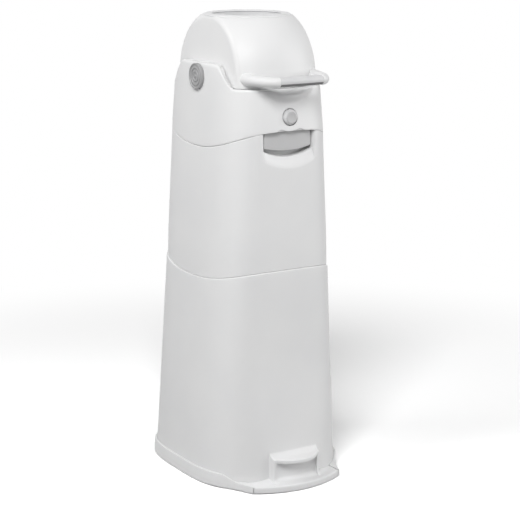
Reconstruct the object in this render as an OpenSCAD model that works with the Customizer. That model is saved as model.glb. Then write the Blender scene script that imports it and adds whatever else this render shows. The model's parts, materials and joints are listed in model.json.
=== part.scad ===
// Nappy bin with a drum that turns over: the nappy goes in at the top of the drum, the handle
// is swung over to the back, and a sliding piston pushes the nappy down into the bag below.
// The origin is on the floor under the middle of the bin. The front faces -Y.

/* [Body sections] */
// Half the width of the body at the floor
foot_half_w = 118; // [112:1:124]
// Half the depth of the body at the floor
foot_half_d = 135.8; // [132:0.2:140]
// Distance of the foot's middle behind the pivot line
foot_shift = 10.4; // [8:0.2:12]
// Half the width at the joint between the lower and upper sections
mid_half_w = 98; // [96:1:102]
// Half the depth at the joint between the lower and upper sections
mid_half_d = 132.5; // [130:0.5:135]
// Distance of that joint's middle behind the pivot line
mid_shift = 3.3; // [2:0.1:5]
// Half the width where the head meets the body
neck_half_w = 87.6; // [87:0.2:90]
// Half the depth where the head meets the body
neck_half_d = 126.8; // [126:0.2:128]
// Distance of the head joint's middle behind the pivot line
neck_shift = 1.2; // [1:0.1:1.4]
// Squareness of the plan at the floor, 2 is an ellipse and more is squarer
foot_power = 3.4; // [3:0.1:3.6]
// Squareness of the plan at the head
head_power = 3.4; // [3.3:0.1:3.8]
// Wall thickness of the moulded sections
wall = 3; // [2.4:0.2:3.4]
// Height of the middle joint at its lowest, at the sides
mid_z = 311; // [280:1:340]
// Rise of the middle joint from the sides to the front and back
mid_rise = 21; // [10:1:30]
// Height of the head joint at its lowest, at the sides
neck_z = 507; // [500:1:512]
// Rise of the head joint from the sides to the front and back
neck_rise = 30; // [24:1:32]
// Amount that the lower section stands proud at the middle joint
mid_step = 1.6; // [1:0.2:2.4]

/* [Base] */
// Height of the rim round the base
rim_h = 23; // [18:1:28]
// Thickness of the rim round the base
rim_t = 3; // [2.4:0.2:4]
// Height of the floor of the base above the ground
floor_z = 5; // [4.4:0.2:7]
// Thickness of the floor of the base
floor_t = 3; // [2.4:0.2:3]
// Radius of a rubber foot
foot_r = 10; // [7:0.5:14]
// Height of the ground gap left by the rubber feet
foot_gap = 1.5; // [1:0.1:2.5]

/* [Foot plate] */
// Half the width of the foot plate
plate_half_w = 75; // [65:1:80]
// Distance that the foot plate's middle stands out in front of the body
plate_out = 41.6; // [36:0.2:48]
// Bow of the foot plate's front edge, from its ends to its middle
plate_bow = 21; // [15:0.5:23]
// Half the width of the ledge over the toe space
ledge_half_w = 42; // [36:1:48]
// Distance that the ledge's middle stands out in front of the body
ledge_out = 39; // [34:0.5:40]
// Bow of the ledge's front edge, from its ends to its middle
ledge_bow = 17.5; // [12:0.5:18]
// Height of the top of the ledge
ledge_z = 48; // [40:1:58]
// Thickness of the ledge
ledge_t = 5.5; // [4:0.5:6]
// Height up the body where the ledge's sloping top ends
ledge_blend_z = 64; // [62:1:74]

/* [Finger pull] */
// Half the width of the pocket under the head
pocket_half_w = 50; // [46:1:52]
// Height of the pocket's lower lip at its middle
pocket_z = 498; // [495:1:501]
// Depth of the pocket's back wall from the front of the body
pocket_d = 20; // [18:0.5:21]
// Height of the lift tab's lower edge at its middle
tab_z = 509; // [506:1:514]
// Thickness of the lift tab
tab_t = 2.5; // [2:0.1:3]

/* [Head] */
// Distance from the drum's flat side to the outside of the head at the height of the pivot
ear_room = 18; // [17:0.5:19]
// Width of the head's rim in front of the drum's swing
rim_lap = 7.7; // [6.7:0.1:8.7]
// Height of the head's rim at the front and back
rim_z = 598; // [594:1:600]
// Height that the ears stand above the rim
ear_h = 32; // [26:1:36]
// Half the width of the chin bulge under the handle
chin_half_w = 60; // [50:1:66]
// Height of the chin bulge below the rim
chin_h = 26; // [20:1:28]
// Amount that the chin bulge stands out
chin_out = 11; // [6:1:13]

/* [Drum] */
// Height of the drum's pivot above the floor
pivot_z = 610; // [608:0.5:612]
// Radius of the drum's ball shape
drum_r = 110.5; // [109:0.5:110.5]
// Half the width of the drum across its flat sides
drum_half_w = 66; // [65:0.5:66]
// Half the height of the drum without its trim rings
drum_half_h = 87.2; // [86:0.1:88]
// Radius of the soft edge between the drum's ball and its flat sides
drum_edge_r = 14; // [8:1:18]
// Wall thickness of the drum's shells
drum_wall = 2.5; // [2:0.1:3]
// Inside radius of the nappy chamber's tube
chamber_r = 54.5; // [52:0.5:55]
// Wall thickness of the chamber's tube
chamber_wall = 2.5; // [2:0.1:3]
// Outside radius of a trim ring
ring_r = 65.5; // [64:0.5:65.5]
// Opening radius of a trim ring
ring_bore_r = 51.5; // [48:0.5:51.5]
// Height of a trim ring above the drum
ring_h = 2.8; // [2:0.2:3]
// Radius of a drum trunnion
trunnion_r = 9; // [7:0.5:10]
// Radius of a side knob
knob_r = 19.5; // [16:0.5:20]
// Thickness of a side knob
knob_t = 5.5; // [5:0.5:8]

/* [Handle] */
// Radius of the handle's white bow
bow_r = 7.6; // [6.5:0.1:8]
// Radius of the handle's grey grip
grip_r = 7.0; // [6:0.1:7.6]
// Length of the grip
grip_len = 73; // [60:1:80]
// Distance of the grip from the pivot line
grip_reach = 150; // [146:1:158]
// Height of the handle above the pivot line
handle_up = 2.5; // [0:0.5:3]

/* [Piston] */
// Height of the piston
piston_h = 50; // [30:1:70]
// Radius of the piston
piston_r = 53.9; // [51.8:0.1:54.2]
// Radius of the piston's steel weight
weight_r = 40; // [30:1:46]
// Thickness of the piston's steel weight
weight_t = 5; // [3:0.5:8]

/* [Button and latch] */
// Height of the button
button_z = 557.5; // [556:0.5:560]
// Radius of the button at the head's wall
button_r = 11.6; // [10:0.2:12]
// Radius of the button's face
button_face_r = 8.7; // [7:0.1:9.6]
// Amount that the button stands out
button_out = 5; // [3.5:0.5:6]
// Travel of the button
button_travel = 2.5; // [1.5:0.1:3]
// Height of the latch's pin
latch_pin_z = 546; // [545:0.5:547]
// Half the width of the latch
latch_half_w = 7; // [5:0.5:8]

/* [Bag ring and hinge] */
// Radius of the throat that the bag hangs round
throat_r = 66; // [60:1:70]
// Height of the bag ring's seat
seat_z = 480; // [474:1:484]
// Distance of the hinge line behind the back of the body
hinge_out = 6.8; // [6.3:0.1:9]
// Height of the hinge line
hinge_z = 533; // [531:0.5:535]
// Radius of the hinge pin
hinge_pin_r = 2; // [1.5:0.1:2.5]

/* [Fits] */
// Clearance between pieces that are seated together
seat_gap = 0.3; // [0.2:0.05:0.4]
// Radial clearance of a running fit
run_gap = 0.06; // [0.03:0.01:0.1]
// Gap between the head and the body
head_gap = 0.8; // [0.5:0.1:1.2]
// Gap round the drum's swing
swing_gap = 0.8; // [0.6:0.1:1]

/* [Hidden] */

white_c = [0.93, 0.93, 0.93];
grey_c = [0.74, 0.74, 0.75];
dark_c = [0.25, 0.25, 0.26];
steel_c = [0.6, 0.6, 0.62];

// Number of points round a moulded section
plan_pts = 80;
// Number of facets hint for round pieces
$fn = 64;

// A length that reaches past the whole bin, for cuts
past = 400;

// Distance of the base rim's outside from the body's section
rim_out = rim_t + 0.4;

// Heights used to read the half sizes of the sections
head_top_z = rim_z + ear_h;
mid_ref_z = mid_z + mid_rise;
neck_ref_z = neck_z + neck_rise;
swing_r = drum_r + swing_gap;
rim_half_d = swing_r + rim_lap;
ear_half_w = drum_half_w + ear_room;

// Half width and half depth of the outside at a height
function half_w(z) = lookup(z, [[0, foot_half_w], [mid_z, mid_half_w], [neck_z, neck_half_w],
    [pivot_z, ear_half_w], [head_top_z + 10, ear_half_w - 2]]);
function half_d(z) = lookup(z, [[0, foot_half_d], [mid_ref_z, mid_half_d], [neck_ref_z, neck_half_d],
    [rim_z, rim_half_d], [head_top_z + 10, rim_half_d - 1]]);

// Where a section's middle, front and back lie at a height. The sections lean back towards the floor.
function mid_y(z) = lookup(z, [[0, foot_shift], [mid_ref_z, mid_shift], [neck_ref_z, neck_shift]]);
function front_y(z) = mid_y(z) - half_d(z);
function back_y(z) = mid_y(z) + half_d(z);

// Plan position of a point round a section, from -1 to 1
function power(z) = lookup(z, [[0, foot_power], [pivot_z, head_power]]);
function plan_u(a, p) = sign(cos(a)) * pow(abs(cos(a)), 2 / p);
function plan_v(a, p) = sign(sin(a)) * pow(abs(sin(a)), 2 / p);
function smooth(t) = let(c = min(1, max(0, t))) c * c * (3 - 2 * c);

// How much of the ear's height a point has: all of it near the pivot, none at the front and back
ear_flat = 0.42;
ear_end = 0.76;
function ear_part(v) = smooth((ear_end - abs(v)) / (ear_end - ear_flat));

// How far the chin bulge stands out at a point of the front
function chin(x, z) =
    let(q = pow(x / chin_half_w, 2) + pow((z - rim_z + 4) / (chin_h - 4), 2)) chin_out * sqrt(max(0, 1 - q));

// One closed ring of points. It lies at height z, lifted by rise towards the front and back and by
// ears at the sides, and inset from the outside by dw at the sides and dd at the front and back.
function section(z, rise, ears, dw, dd, bulge = 0) = [
    for (i = [0:plan_pts - 1])
        let(a = 360 * i / plan_pts, u = plan_u(a, power(z)), v = plan_v(a, power(z)))
        let(h = z + rise * v * v + ears * ear_part(v))
        let(x = (half_w(h) - dw) * u, y = mid_y(h) + (half_d(h) - dd) * v)
        [x, y - (v < 0 ? bulge * chin(x, h) : 0), h]
];

// A closed skin between rings that go up the outside and come down the inside
module skin(rings) {
    n = len(rings);
    polyhedron(
        points = [for (r = rings) each r],
        faces = [for (k = [0:n - 1]) for (i = [0:plan_pts - 1])
            let(a = k * plan_pts, b = ((k + 1) % n) * plan_pts, j = (i + 1) % plan_pts)
            each [[a + i, b + i, b + j], [a + i, b + j, a + j]]],
        convexity = 6);
}

// A solid between rings that go up, closed by a fan at each end
module solid_loft(rings) {
    n = len(rings);
    last = (n - 1) * plan_pts;
    c0 = n * plan_pts;
    bottom_c = [0, 0, rings[0][0][2]];
    top_c = [0, 0, rings[n - 1][0][2]];
    polyhedron(
        points = concat([for (r = rings) each r], [bottom_c, top_c]),
        faces = concat(
            [for (k = [0:n - 2]) for (i = [0:plan_pts - 1])
                let(a = k * plan_pts, b = a + plan_pts, j = (i + 1) % plan_pts)
                each [[a + i, b + i, b + j], [a + i, b + j, a + j]]],
            [for (i = [0:plan_pts - 1]) [c0, i, (i + 1) % plan_pts]],
            [for (i = [0:plan_pts - 1]) [c0 + 1, last + (i + 1) % plan_pts, last + i]]),
        convexity = 4);
}

// A flat outline of a section at a height, inset by dw and dd
module plan_outline(z, dw, dd) {
    p = power(z);
    polygon([for (i = [0:47])
        [(half_w(z) - dw) * plan_u(7.5 * i, p), mid_y(z) + (half_d(z) - dd) * plan_v(7.5 * i, p)]]);
}

// Every piece is drawn about the pivot line and then moved, so that the outer box is centred on the origin
plate_mid_d = plate_out - front_y(0);
axis_y = (plate_mid_d - back_y(0) - rim_out) / 2;

module place() {
    translate([0, axis_y, 0]) children();
}

module rod(p, dir, len, r, r2 = -1) {
    turn = dir == "x" ? [0, 90, 0] : dir == "y" ? [-90, 0, 0] : [0, 0, 0];
    translate(p) rotate(turn) cylinder(h = len, r1 = r, r2 = r2 < 0 ? r : r2);
}

module block(lo, hi) {
    translate(lo) cube(hi - lo);
}

// ---- Base ----

rim_z0 = foot_gap;
body_foot_z = floor_z + floor_t + seat_gap;
// Height of the foot plate's top above the foot of the body
plate_rise = 3.5;
plate_top_z = body_foot_z + plate_rise;
plate_low_z = foot_gap;
// Distance that the foot plate reaches in behind the front of the body, and the length of its tongue
plate_lap = 7.4;
tongue_l = 20;
tongue_in = 6;
plate_back_d = -front_y(0) - plate_lap;
tongue_back_d = plate_back_d - tongue_l;
notch_half_w = plate_half_w + 1;
screw_x = 50;
screw_y = -plate_back_d + tongue_l / 2;
screw_spots = [[-screw_x, screw_y], [screw_x, screw_y]];
screw_r = 2;
screw_gap = 0.1;
// Distances of the rubber feet from the sides, the front and the back of the body
feet_in_x = 38;
feet_in_front = 37.4;
feet_in_back = 41.2;
feet_x = foot_half_w - feet_in_x;
feet_y0 = front_y(0) + feet_in_front;
feet_y1 = back_y(0) - feet_in_back;
feet_spots = [[-feet_x, feet_y0], [feet_x, feet_y0], [-feet_x, feet_y1], [feet_x, feet_y1]];
// Half size of the opening in the base's floor that its middle disc closes
floor_core = 20;
rim_edge = 0.8;

module base_tray() {
    color(white_c) place() difference() {
        union() {
            skin([
                section(rim_z0, 0, 0, -rim_t + rim_edge, -rim_t + rim_edge),
                section(rim_z0 + 2, 0, 0, -rim_out, -rim_out),
                section(rim_h - 1.5, 0, 0, -rim_out, -rim_out),
                section(rim_h, 0, 0, -rim_t + rim_edge, -rim_t + rim_edge),
                section(rim_h, 0, 0, -seat_gap, -seat_gap),
                section(floor_z + floor_t, 0, 0, -seat_gap, -seat_gap),
                section(floor_z + floor_t, 0, 0, foot_half_w - floor_core, foot_half_d - floor_core),
                section(floor_z, 0, 0, foot_half_w - floor_core, foot_half_d - floor_core),
                section(floor_z, 0, 0, 0, 0),
                section(rim_z0, 0, 0, 0, 0)
            ]);
            rod([0, foot_shift, floor_z], "z", floor_t, 1.5 * floor_core);
        }
        block([-notch_half_w, -past, -1], [notch_half_w, -plate_back_d + seat_gap, rim_h + 1]);
        for (s = screw_spots) rod([s.x, s.y, 0], "z", rim_h, screw_r + screw_gap);
        for (s = feet_spots) rod([s.x, s.y, 0], "z", rim_h, foot_r / 2 + screw_gap);
    }
}

module rubber_feet() {
    color(dark_c) place() for (s = feet_spots) {
        rod([s.x, s.y, 0], "z", floor_z - 0.02, foot_r);
        rod([s.x, s.y, 0], "z", floor_z + floor_t - 0.2, foot_r / 2);
    }
}

// Plan of a plate with a bowed front edge, from its straight back edge to an arc through its middle and ends
module plate_plan(half, mid_d, bow, back_d) {
    arc_r = (half * half + bow * bow) / (2 * bow);
    intersection() {
        translate([0, arc_r - mid_d]) circle(r = arc_r, $fn = 180);
        translate([-half, -mid_d - 1]) square([2 * half, mid_d + 1 - back_d]);
    }
}

module foot_plate() {
    color(white_c) place() difference() {
        union() {
            translate([0, 0, plate_low_z]) linear_extrude(plate_top_z - plate_low_z)
                plate_plan(plate_half_w, plate_mid_d, plate_bow, plate_back_d);
            block([-plate_half_w + tongue_in, -plate_back_d - 1, floor_z + floor_t],
                [plate_half_w - tongue_in, -tongue_back_d, plate_top_z]);
        }
        for (s = screw_spots) rod([s.x, s.y, 0], "z", rim_h, screw_r + screw_gap);
    }
}

module base_screws() {
    color(steel_c) place() for (s = screw_spots) {
        rod([s.x, s.y, floor_z - 2], "z", plate_top_z - floor_z + 1.5, screw_r);
        rod([s.x, s.y, floor_z - 2], "z", 1.95, screw_r * 2);
    }
}

ledge_mid_d = ledge_out - front_y(ledge_z);
// The cheeks under the ledge end just behind the corners of its front edge, and the panel between them is set
// back from their fronts
cheek_t = 5.5;
cheek_front_d = ledge_mid_d - ledge_bow - 1;
panel_in = 4;
panel_t = 3;
panel_d = cheek_front_d - panel_in;

module foot_ledge() {
    color(white_c) place() difference() {
        union() {
            translate([0, 0, ledge_z - ledge_t]) linear_extrude(ledge_t)
                plate_plan(ledge_half_w, ledge_mid_d, ledge_bow, plate_back_d);
            for (s = [-1, 1]) translate([s * (ledge_half_w - cheek_t / 2), 0, 0])
                block([-cheek_t / 2, -cheek_front_d, plate_top_z + seat_gap],
                    [cheek_t / 2, -plate_back_d, ledge_z - ledge_t]);
            block([-ledge_half_w + 1, -panel_d, plate_top_z + seat_gap],
                [ledge_half_w - 1, -panel_d + panel_t, ledge_z - ledge_t]);
            translate([-ledge_half_w, 0, 0]) rotate([90, 0, 90]) linear_extrude(2 * ledge_half_w)
                polygon([[-ledge_mid_d + ledge_bow + 2, ledge_z], [-plate_back_d, ledge_z],
                    [-plate_back_d, ledge_blend_z], [front_y(ledge_blend_z), ledge_blend_z]]);
        }
        solid_loft([section(body_foot_z, 0, 0, -seat_gap, -seat_gap),
            section(mid_z / 2, 0, 0, -seat_gap, -seat_gap)]);
    }
}

// ---- Body ----

module lower_body() {
    color(white_c) place() difference() {
        skin([
            section(body_foot_z, 0, 0, 0, 0),
            section(mid_z / 2, 0, 0, 0, 0),
            section(mid_z - 1, mid_rise, 0, 0, 0),
            section(mid_z, mid_rise, 0, 0.8, 0.8),
            section(mid_z, mid_rise, 0, wall, wall),
            section(mid_z / 2, 0, 0, wall, wall),
            section(body_foot_z, 0, 0, wall, wall)
        ]);
        block([-notch_half_w, -past, 0],
            [notch_half_w, -tongue_back_d + 2 * tongue_l, plate_top_z + seat_gap]);
    }
}

skirt_h = 14;
skirt_in = wall + seat_gap + 0.1;
ledge_w = 8;
neck_top = neck_z - head_gap / 2;
pocket_back_y = front_y(neck_ref_z) + pocket_d;

// Front outline of the pocket, widened by grow, with a bowed lower edge
pocket_bow = 6;

module pocket_front(grow) {
    arc_r = (pocket_half_w * pocket_half_w + pocket_bow * pocket_bow) / (2 * pocket_bow);
    intersection() {
        translate([0, pocket_z - grow + arc_r]) circle(r = arc_r, $fn = 180);
        translate([-pocket_half_w - grow, pocket_z - grow - 1])
            square([2 * (pocket_half_w + grow), neck_ref_z - pocket_z + 40]);
    }
}

module pocket_solid(grow, y0, y1) {
    translate([0, y1, 0]) rotate([90, 0, 0]) linear_extrude(y1 - y0) pocket_front(grow);
}

module upper_body() {
    color(white_c) place() difference() {
        union() {
            skin([
                section(mid_z - skirt_h, mid_rise, 0, skirt_in, skirt_in),
                section(mid_z, mid_rise, 0, skirt_in, skirt_in),
                section(mid_z + seat_gap, mid_rise, 0, mid_step, mid_step),
                section(mid_z + 40, mid_rise, 0, 0.6, 0.6),
                section(neck_top - 1, neck_rise, 0, 0, 0),
                section(neck_top, neck_rise, 0, 0.8, 0.8),
                section(neck_top, neck_rise, 0, wall, wall),
                section(seat_z, 0, 0, wall, wall),
                section(seat_z, 0, 0, wall + ledge_w, wall + ledge_w),
                section(seat_z - 4, 0, 0, wall + ledge_w, wall + ledge_w),
                section(seat_z - 12, 0, 0, wall, wall),
                section(mid_z + 40, mid_rise, 0, wall + 1, wall + 1),
                section(mid_z, mid_rise, 0, skirt_in + 2.4, skirt_in + 2.4),
                section(mid_z - skirt_h, mid_rise, 0, skirt_in + 2.4, skirt_in + 2.4)
            ]);
            intersection() {
                pocket_solid(wall, -neck_half_d - 5, pocket_back_y + wall);
                solid_loft([section(seat_z, 0, 0, 1, 1), section(neck_top - 1.2, neck_rise, 0, 1, 1)]);
            }
            block([-pocket_half_w - wall, pocket_back_y, pocket_z],
                [pocket_half_w + wall, pocket_back_y + wall, neck_ref_z - 1]);
        }
        pocket_solid(0, -neck_half_d - 20, pocket_back_y);
    }
}

// The lift tab hangs from the head in front of the pocket's back wall. A flange at its top reaches forward
// to the inside of the head's front wall.
tab_in = 7.6;
tab_side = 9.5;
tab_front_y = front_y(neck_ref_z) + tab_in;
tab_flange_z = neck_ref_z + 1.3;
tab_flange_t = 2.2;

module lift_tab() {
    color(grey_c) place() {
        intersection() {
            translate([0, 0, tab_z - pocket_z - tab_side])
                pocket_solid(-tab_side, tab_front_y, tab_front_y + tab_t);
            block([-past, -past, 0], [past, 0, tab_flange_z + tab_flange_t]);
        }
        intersection() {
            block([-pocket_half_w + tab_side, front_y(tab_flange_z), tab_flange_z],
                [pocket_half_w - tab_side, tab_front_y + tab_t, tab_flange_z + tab_flange_t]);
            head_room(seat_gap);
        }
    }
}

bag_flange_t = 3;
bag_collar_h = 24;
bag_collar_t = 3;

module bag_ring() {
    color(grey_c) place() difference() {
        union() {
            intersection() {
                translate([0, 0, seat_z + seat_gap]) linear_extrude(bag_flange_t)
                    plan_outline(seat_z, wall + 1.2, wall + 1.2);
                block([-past, pocket_back_y + wall + 1, 0], [past, past, 2 * past]);
            }
            rod([0, 0, seat_z - bag_collar_h], "z", bag_collar_h + 1, throat_r + bag_collar_t);
        }
        rod([0, 0, 0], "z", 2 * past, throat_r);
    }
}

// ---- Rear hinge ----

knuckle_r = 5.5;
body_wall_y = back_y(hinge_z);
hinge_d = body_wall_y + hinge_out;
hinge_half = 36;
mid_knuckle = 14;
knuckle_gap = 0.4;
// How far the leaves reach down the body and up the head from the hinge line
body_leaf_h = 32;
head_leaf_h = 30;

module hinge_body_leaf() {
    color(white_c) place() difference() {
        union() {
            for (s = [-1, 1]) {
                x0 = s > 0 ? mid_knuckle + knuckle_gap : -hinge_half;
                rod([x0, hinge_d, hinge_z], "x", hinge_half - mid_knuckle - knuckle_gap, knuckle_r);
                block([x0, body_wall_y + 1.4, hinge_z - body_leaf_h],
                    [x0 + hinge_half - mid_knuckle - knuckle_gap, hinge_d + knuckle_r - 2.5, hinge_z]);
            }
        }
        solid_loft([section(seat_z, 0, 0, -seat_gap, -seat_gap),
            section(rim_z, 0, 0, -seat_gap, -seat_gap)]);
        rod([-past, hinge_d, hinge_z], "x", 2 * past, hinge_pin_r + 0.02);
    }
}

module hinge_head_leaf() {
    color(white_c) place() difference() {
        union() {
            rod([-mid_knuckle, hinge_d, hinge_z], "x", 2 * mid_knuckle, knuckle_r);
            block([-mid_knuckle, body_wall_y - 6, hinge_z + knuckle_r - 0.5],
                [mid_knuckle, hinge_d + 1, hinge_z + head_leaf_h]);
            block([-mid_knuckle, hinge_d - 4.5, hinge_z],
                [mid_knuckle, hinge_d + 4.5, hinge_z + knuckle_r + 2]);
        }
        head_core(-seat_gap);
        head_screw_holes();
        rod([-past, hinge_d, hinge_z], "x", 2 * past, hinge_pin_r + run_gap);
    }
}

module hinge_pin() {
    color(steel_c) place() rod([-hinge_half - 1, hinge_d, hinge_z], "x", 2 * hinge_half + 2, hinge_pin_r);
}

// ---- Head ----

head_z0 = neck_z + head_gap / 2;
// Shares of the head's height at which its outside is drawn
head_steps = [0.02, 0.2, 0.36, 0.48, 0.58, 0.66, 0.74, 0.82, 0.9, 0.96];
// The inner wall is drawn straight from the head's lower edge up to this share of its height
low_room_t = 0.3;
rim_gap = 1;
flat_gap = 2.6;
knob_gap = 0.7;
pad_r = knob_r + knob_gap + 0.3;
pad_x = ear_half_w - 0.9;
bush_r = 13;
bush_flange_r = 17;
bush_in_x = drum_half_w + 1.2;
bush_flange_x = bush_in_x + 4.9;
button_y = front_y(button_z);

// The ring at a share t of the way from the head's lower edge to its rim
function head_ring(t, dw, dd, bulge = 1) = section(head_z0 + (rim_z - head_z0) * t,
    neck_rise * (1 - t), ear_h * t, dw, dd, bulge);

// A solid that fills the head's outline up to its ears, inset all round
module head_core(inset) {
    solid_loft([for (t = concat([-0.02], head_steps)) if (t < 0.8) head_ring(t, inset, inset, 0)]);
}

// The room between the head's front and back walls at its lower edge, inset all round
module head_room(inset) {
    solid_loft([for (t = [-0.02, 0, low_room_t]) head_ring(t, wall + inset, wall + inset, 0)]);
}

// The opening that the drum turns in: a ring pulled in to just outside the drum's ball and its flat sides
function opening_ring(t) = [
    for (q = head_ring(t, 0, 0, 0))
        let(r = norm([q.x, q.y]), ball = sqrt(swing_r * swing_r - pow(q.z - pivot_z, 2)) + rim_gap)
        let(flat = (drum_half_w + flat_gap) * r / max(abs(q.x), 1), f = min(ball, flat) / r)
        [q.x * f, q.y * f, q.z]
];

module head_shell() {
    color(white_c) place() difference() {
        union() {
            skin([
                head_ring(0, 1.2, 1.2),
                for (t = head_steps) head_ring(t, 0, 0),
                head_ring(1, 1.2, 0.8),
                opening_ring(1),
                opening_ring(0.95),
                head_ring(0.88, wall, wall, 0),
                head_ring(0.78, wall, wall, 0.9),
                head_ring(0.6, wall, wall, 0.9),
                head_ring(low_room_t, wall, wall, 0),
                head_ring(0, wall, wall, 0)
            ]);
            for (s = [-1, 1]) mirror([s < 0 ? 1 : 0, 0, 0])
                rod([bush_flange_x, 0, pivot_z], "x", pad_x - bush_flange_x, pad_r);
        }
        for (s = [-1, 1]) mirror([s < 0 ? 1 : 0, 0, 0]) {
            rod([pad_x, 0, pivot_z], "x", 20, knob_r + knob_gap);
            rod([bush_in_x - 6, 0, pivot_z], "x", 40, bush_r + 0.05);
            rod([bush_in_x - 6, 0, pivot_z], "x", bush_flange_x + seat_gap - bush_in_x + 6,
                bush_flange_r + seat_gap);
        }
        rod([0, button_y - 10, button_z], "y", 20, button_r + 0.9);
        head_screw_holes();
    }
}

module pivot_bushes() {
    color(grey_c) place() for (s = [-1, 1]) mirror([s < 0 ? 1 : 0, 0, 0]) difference() {
        union() {
            rod([bush_in_x, 0, pivot_z], "x", bush_flange_x - bush_in_x, bush_flange_r);
            rod([bush_in_x, 0, pivot_z], "x", pad_x - 0.3 - bush_in_x, bush_r);
        }
        rod([bush_in_x - 6, 0, pivot_z], "x", 40, trunnion_r + run_gap);
    }
}

seal_z = 552;
seal_t = 3;
seal_reach = sqrt(swing_r * swing_r - pow(pivot_z - seal_z - seal_t, 2)) + 0.8;

module drum_seal_frame() {
    color(dark_c) place() difference() {
        translate([0, 0, seal_z]) linear_extrude(seal_t) difference() {
            plan_outline(seal_z, wall + 0.8, wall + 0.8);
            intersection() {
                circle(r = seal_reach, $fn = 120);
                square([2 * (drum_half_w + 1), 300], center = true);
            }
            translate([-guide_r - 1, -past]) square([2 * (guide_r + 1), past + latch_y + 11]);
        }
    }
}

guide_r = 16;
guide_in_r = 14;
flange_t = 1.4;
guide_plate_t = 2.2;
// Room for the spring between the button's flange and the guide's back plate, and what is left of it with the
// button pressed home
spring_pressed = 0.7;
spring_room = button_travel + spring_pressed;
flange_front_y = max(front_y(button_z + guide_in_r), front_y(button_z - guide_in_r)) + wall + 0.4;
guide_back_y = flange_front_y + flange_t + spring_room + guide_plate_t;
latch_pin_r = 1.5;
latch_boss_r = 3.4;
latch_y = guide_back_y + 4;
// The lever's upper arm, and the stem's coned end that pushes it
arm_t = 2.6;
arm_front_y = latch_y - 2.4;
arm_over = 3;
// Lugs at the lever's sides that hold its pin
lug_gap = 0.5;
lug_t = 4;
stem_r = 4;
stem_tip_r = 0.8;
stem_end_y = arm_front_y - seat_gap;

module button_guide() {
    color(white_c) place() difference() {
        intersection() {
            union() {
                rod([0, button_y, button_z], "y", guide_back_y - button_y, guide_r);
                for (s = [-1, 1]) mirror([s < 0 ? 1 : 0, 0, 0])
                    block([latch_half_w + lug_gap, button_y, latch_pin_z - 5],
                        [latch_half_w + lug_gap + lug_t, latch_y + 4, button_z - 8]);
            }
            head_core(wall + seat_gap);
        }
        rod([0, button_y - 5, button_z], "y", guide_back_y - guide_plate_t - button_y + 5, guide_in_r + 0.6);
        rod([0, button_y, button_z], "y", 60, stem_r + run_gap);
        rod([-past, latch_y, latch_pin_z], "x", 2 * past, latch_pin_r + 0.02);
        block([-latch_half_w - 0.4, guide_back_y - 0.01, seat_z], [latch_half_w + 0.4, 0, button_z + 3]);
    }
}

module push_button() {
    flange_d = flange_front_y - button_y;
    color(grey_c) place() translate([0, button_y, button_z]) rotate([-90, 0, 0]) rotate_extrude() polygon([
        [0, -button_out], [button_face_r, -button_out], [button_r, -1], [button_r, flange_d],
        [guide_in_r, flange_d], [guide_in_r, flange_d + flange_t], [stem_r, flange_d + flange_t],
        [stem_r, stem_end_y - button_y - stem_r + 1], [stem_tip_r, stem_end_y - button_y],
        [0, stem_end_y - button_y]
    ]);
}

// Cone-shaped helix of the button's return spring, between the flange and the guide's back plate
spring_turns = 3;
spring_wire = 0.25;
spring_y0 = flange_front_y + flange_t + spring_wire + 0.02;
spring_y1 = guide_back_y - guide_plate_t - spring_wire - 0.02;
spring_r0 = 6;
spring_r1 = 11;
spring_steps = 60;

module button_spring() {
    sides = 6;
    pts = [for (k = [0:spring_steps]) for (j = [0:sides - 1])
        let(t = k / spring_steps, a = 360 * spring_turns * t, b = 360 * j / sides)
        let(r = spring_r0 + (spring_r1 - spring_r0) * t + spring_wire * cos(b))
        [r * cos(a), spring_y0 + (spring_y1 - spring_y0) * t + spring_wire * sin(b), button_z + r * sin(a)]];
    end = spring_steps * sides;
    color(steel_c) place() polyhedron(
        points = pts,
        faces = concat(
            [for (k = [0:spring_steps - 1]) for (j = [0:sides - 1])
                let(a = k * sides + j, b = k * sides + (j + 1) % sides)
                each [[a, a + sides, b + sides], [a, b + sides, b]]],
            [[for (j = [0:sides - 1]) j]],
            [[for (j = [sides - 1:-1:0]) end + j]]));
}

// The lever's lower arm stands behind the pocket's back wall, with room to swing forward, and its nose
// points back to the keeper
hook_room = 6.4;
nose_l = 5.4;
nose_t = 3;
nose_gap = 0.6;
crank_h = 5;
hook_z = latch_pin_z - 25;
hook_y = pocket_back_y + wall + hook_room;

module latch_lever() {
    color(white_c) place() difference() {
        union() {
            rod([-latch_half_w, latch_y, latch_pin_z], "x", 2 * latch_half_w, latch_boss_r);
            block([-latch_half_w, arm_front_y, latch_pin_z],
                [latch_half_w, arm_front_y + arm_t, button_z + arm_over]);
            block([-latch_half_w, latch_y, latch_pin_z - crank_h],
                [latch_half_w, hook_y + arm_t, latch_pin_z - 1]);
            block([-latch_half_w, hook_y, hook_z], [latch_half_w, hook_y + arm_t, latch_pin_z - 1]);
            block([-latch_half_w, hook_y, hook_z], [latch_half_w, hook_y + nose_l, hook_z + nose_t]);
        }
        rod([-past, latch_y, latch_pin_z], "x", 2 * past, latch_pin_r + run_gap);
    }
}

module latch_pin() {
    half = latch_half_w + lug_gap + lug_t - 0.1;
    color(steel_c) place() rod([-half, latch_y, latch_pin_z], "x", 2 * half, latch_pin_r);
}

keeper_y = hook_y + nose_l + nose_gap;

module latch_keeper() {
    color(steel_c) place() difference() {
        block([-latch_half_w - 4, pocket_back_y + wall + seat_gap, hook_z - 6],
            [latch_half_w + 4, keeper_y + 2, hook_z + 8]);
        block([-latch_half_w - 1.2, -past, hook_z - 10], [latch_half_w + 1.2, keeper_y, hook_z + 20]);
        block([-latch_half_w - 1.2, -past, hook_z - 10], [latch_half_w + 1.2, 0, hook_z + nose_t + 1]);
    }
}

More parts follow.
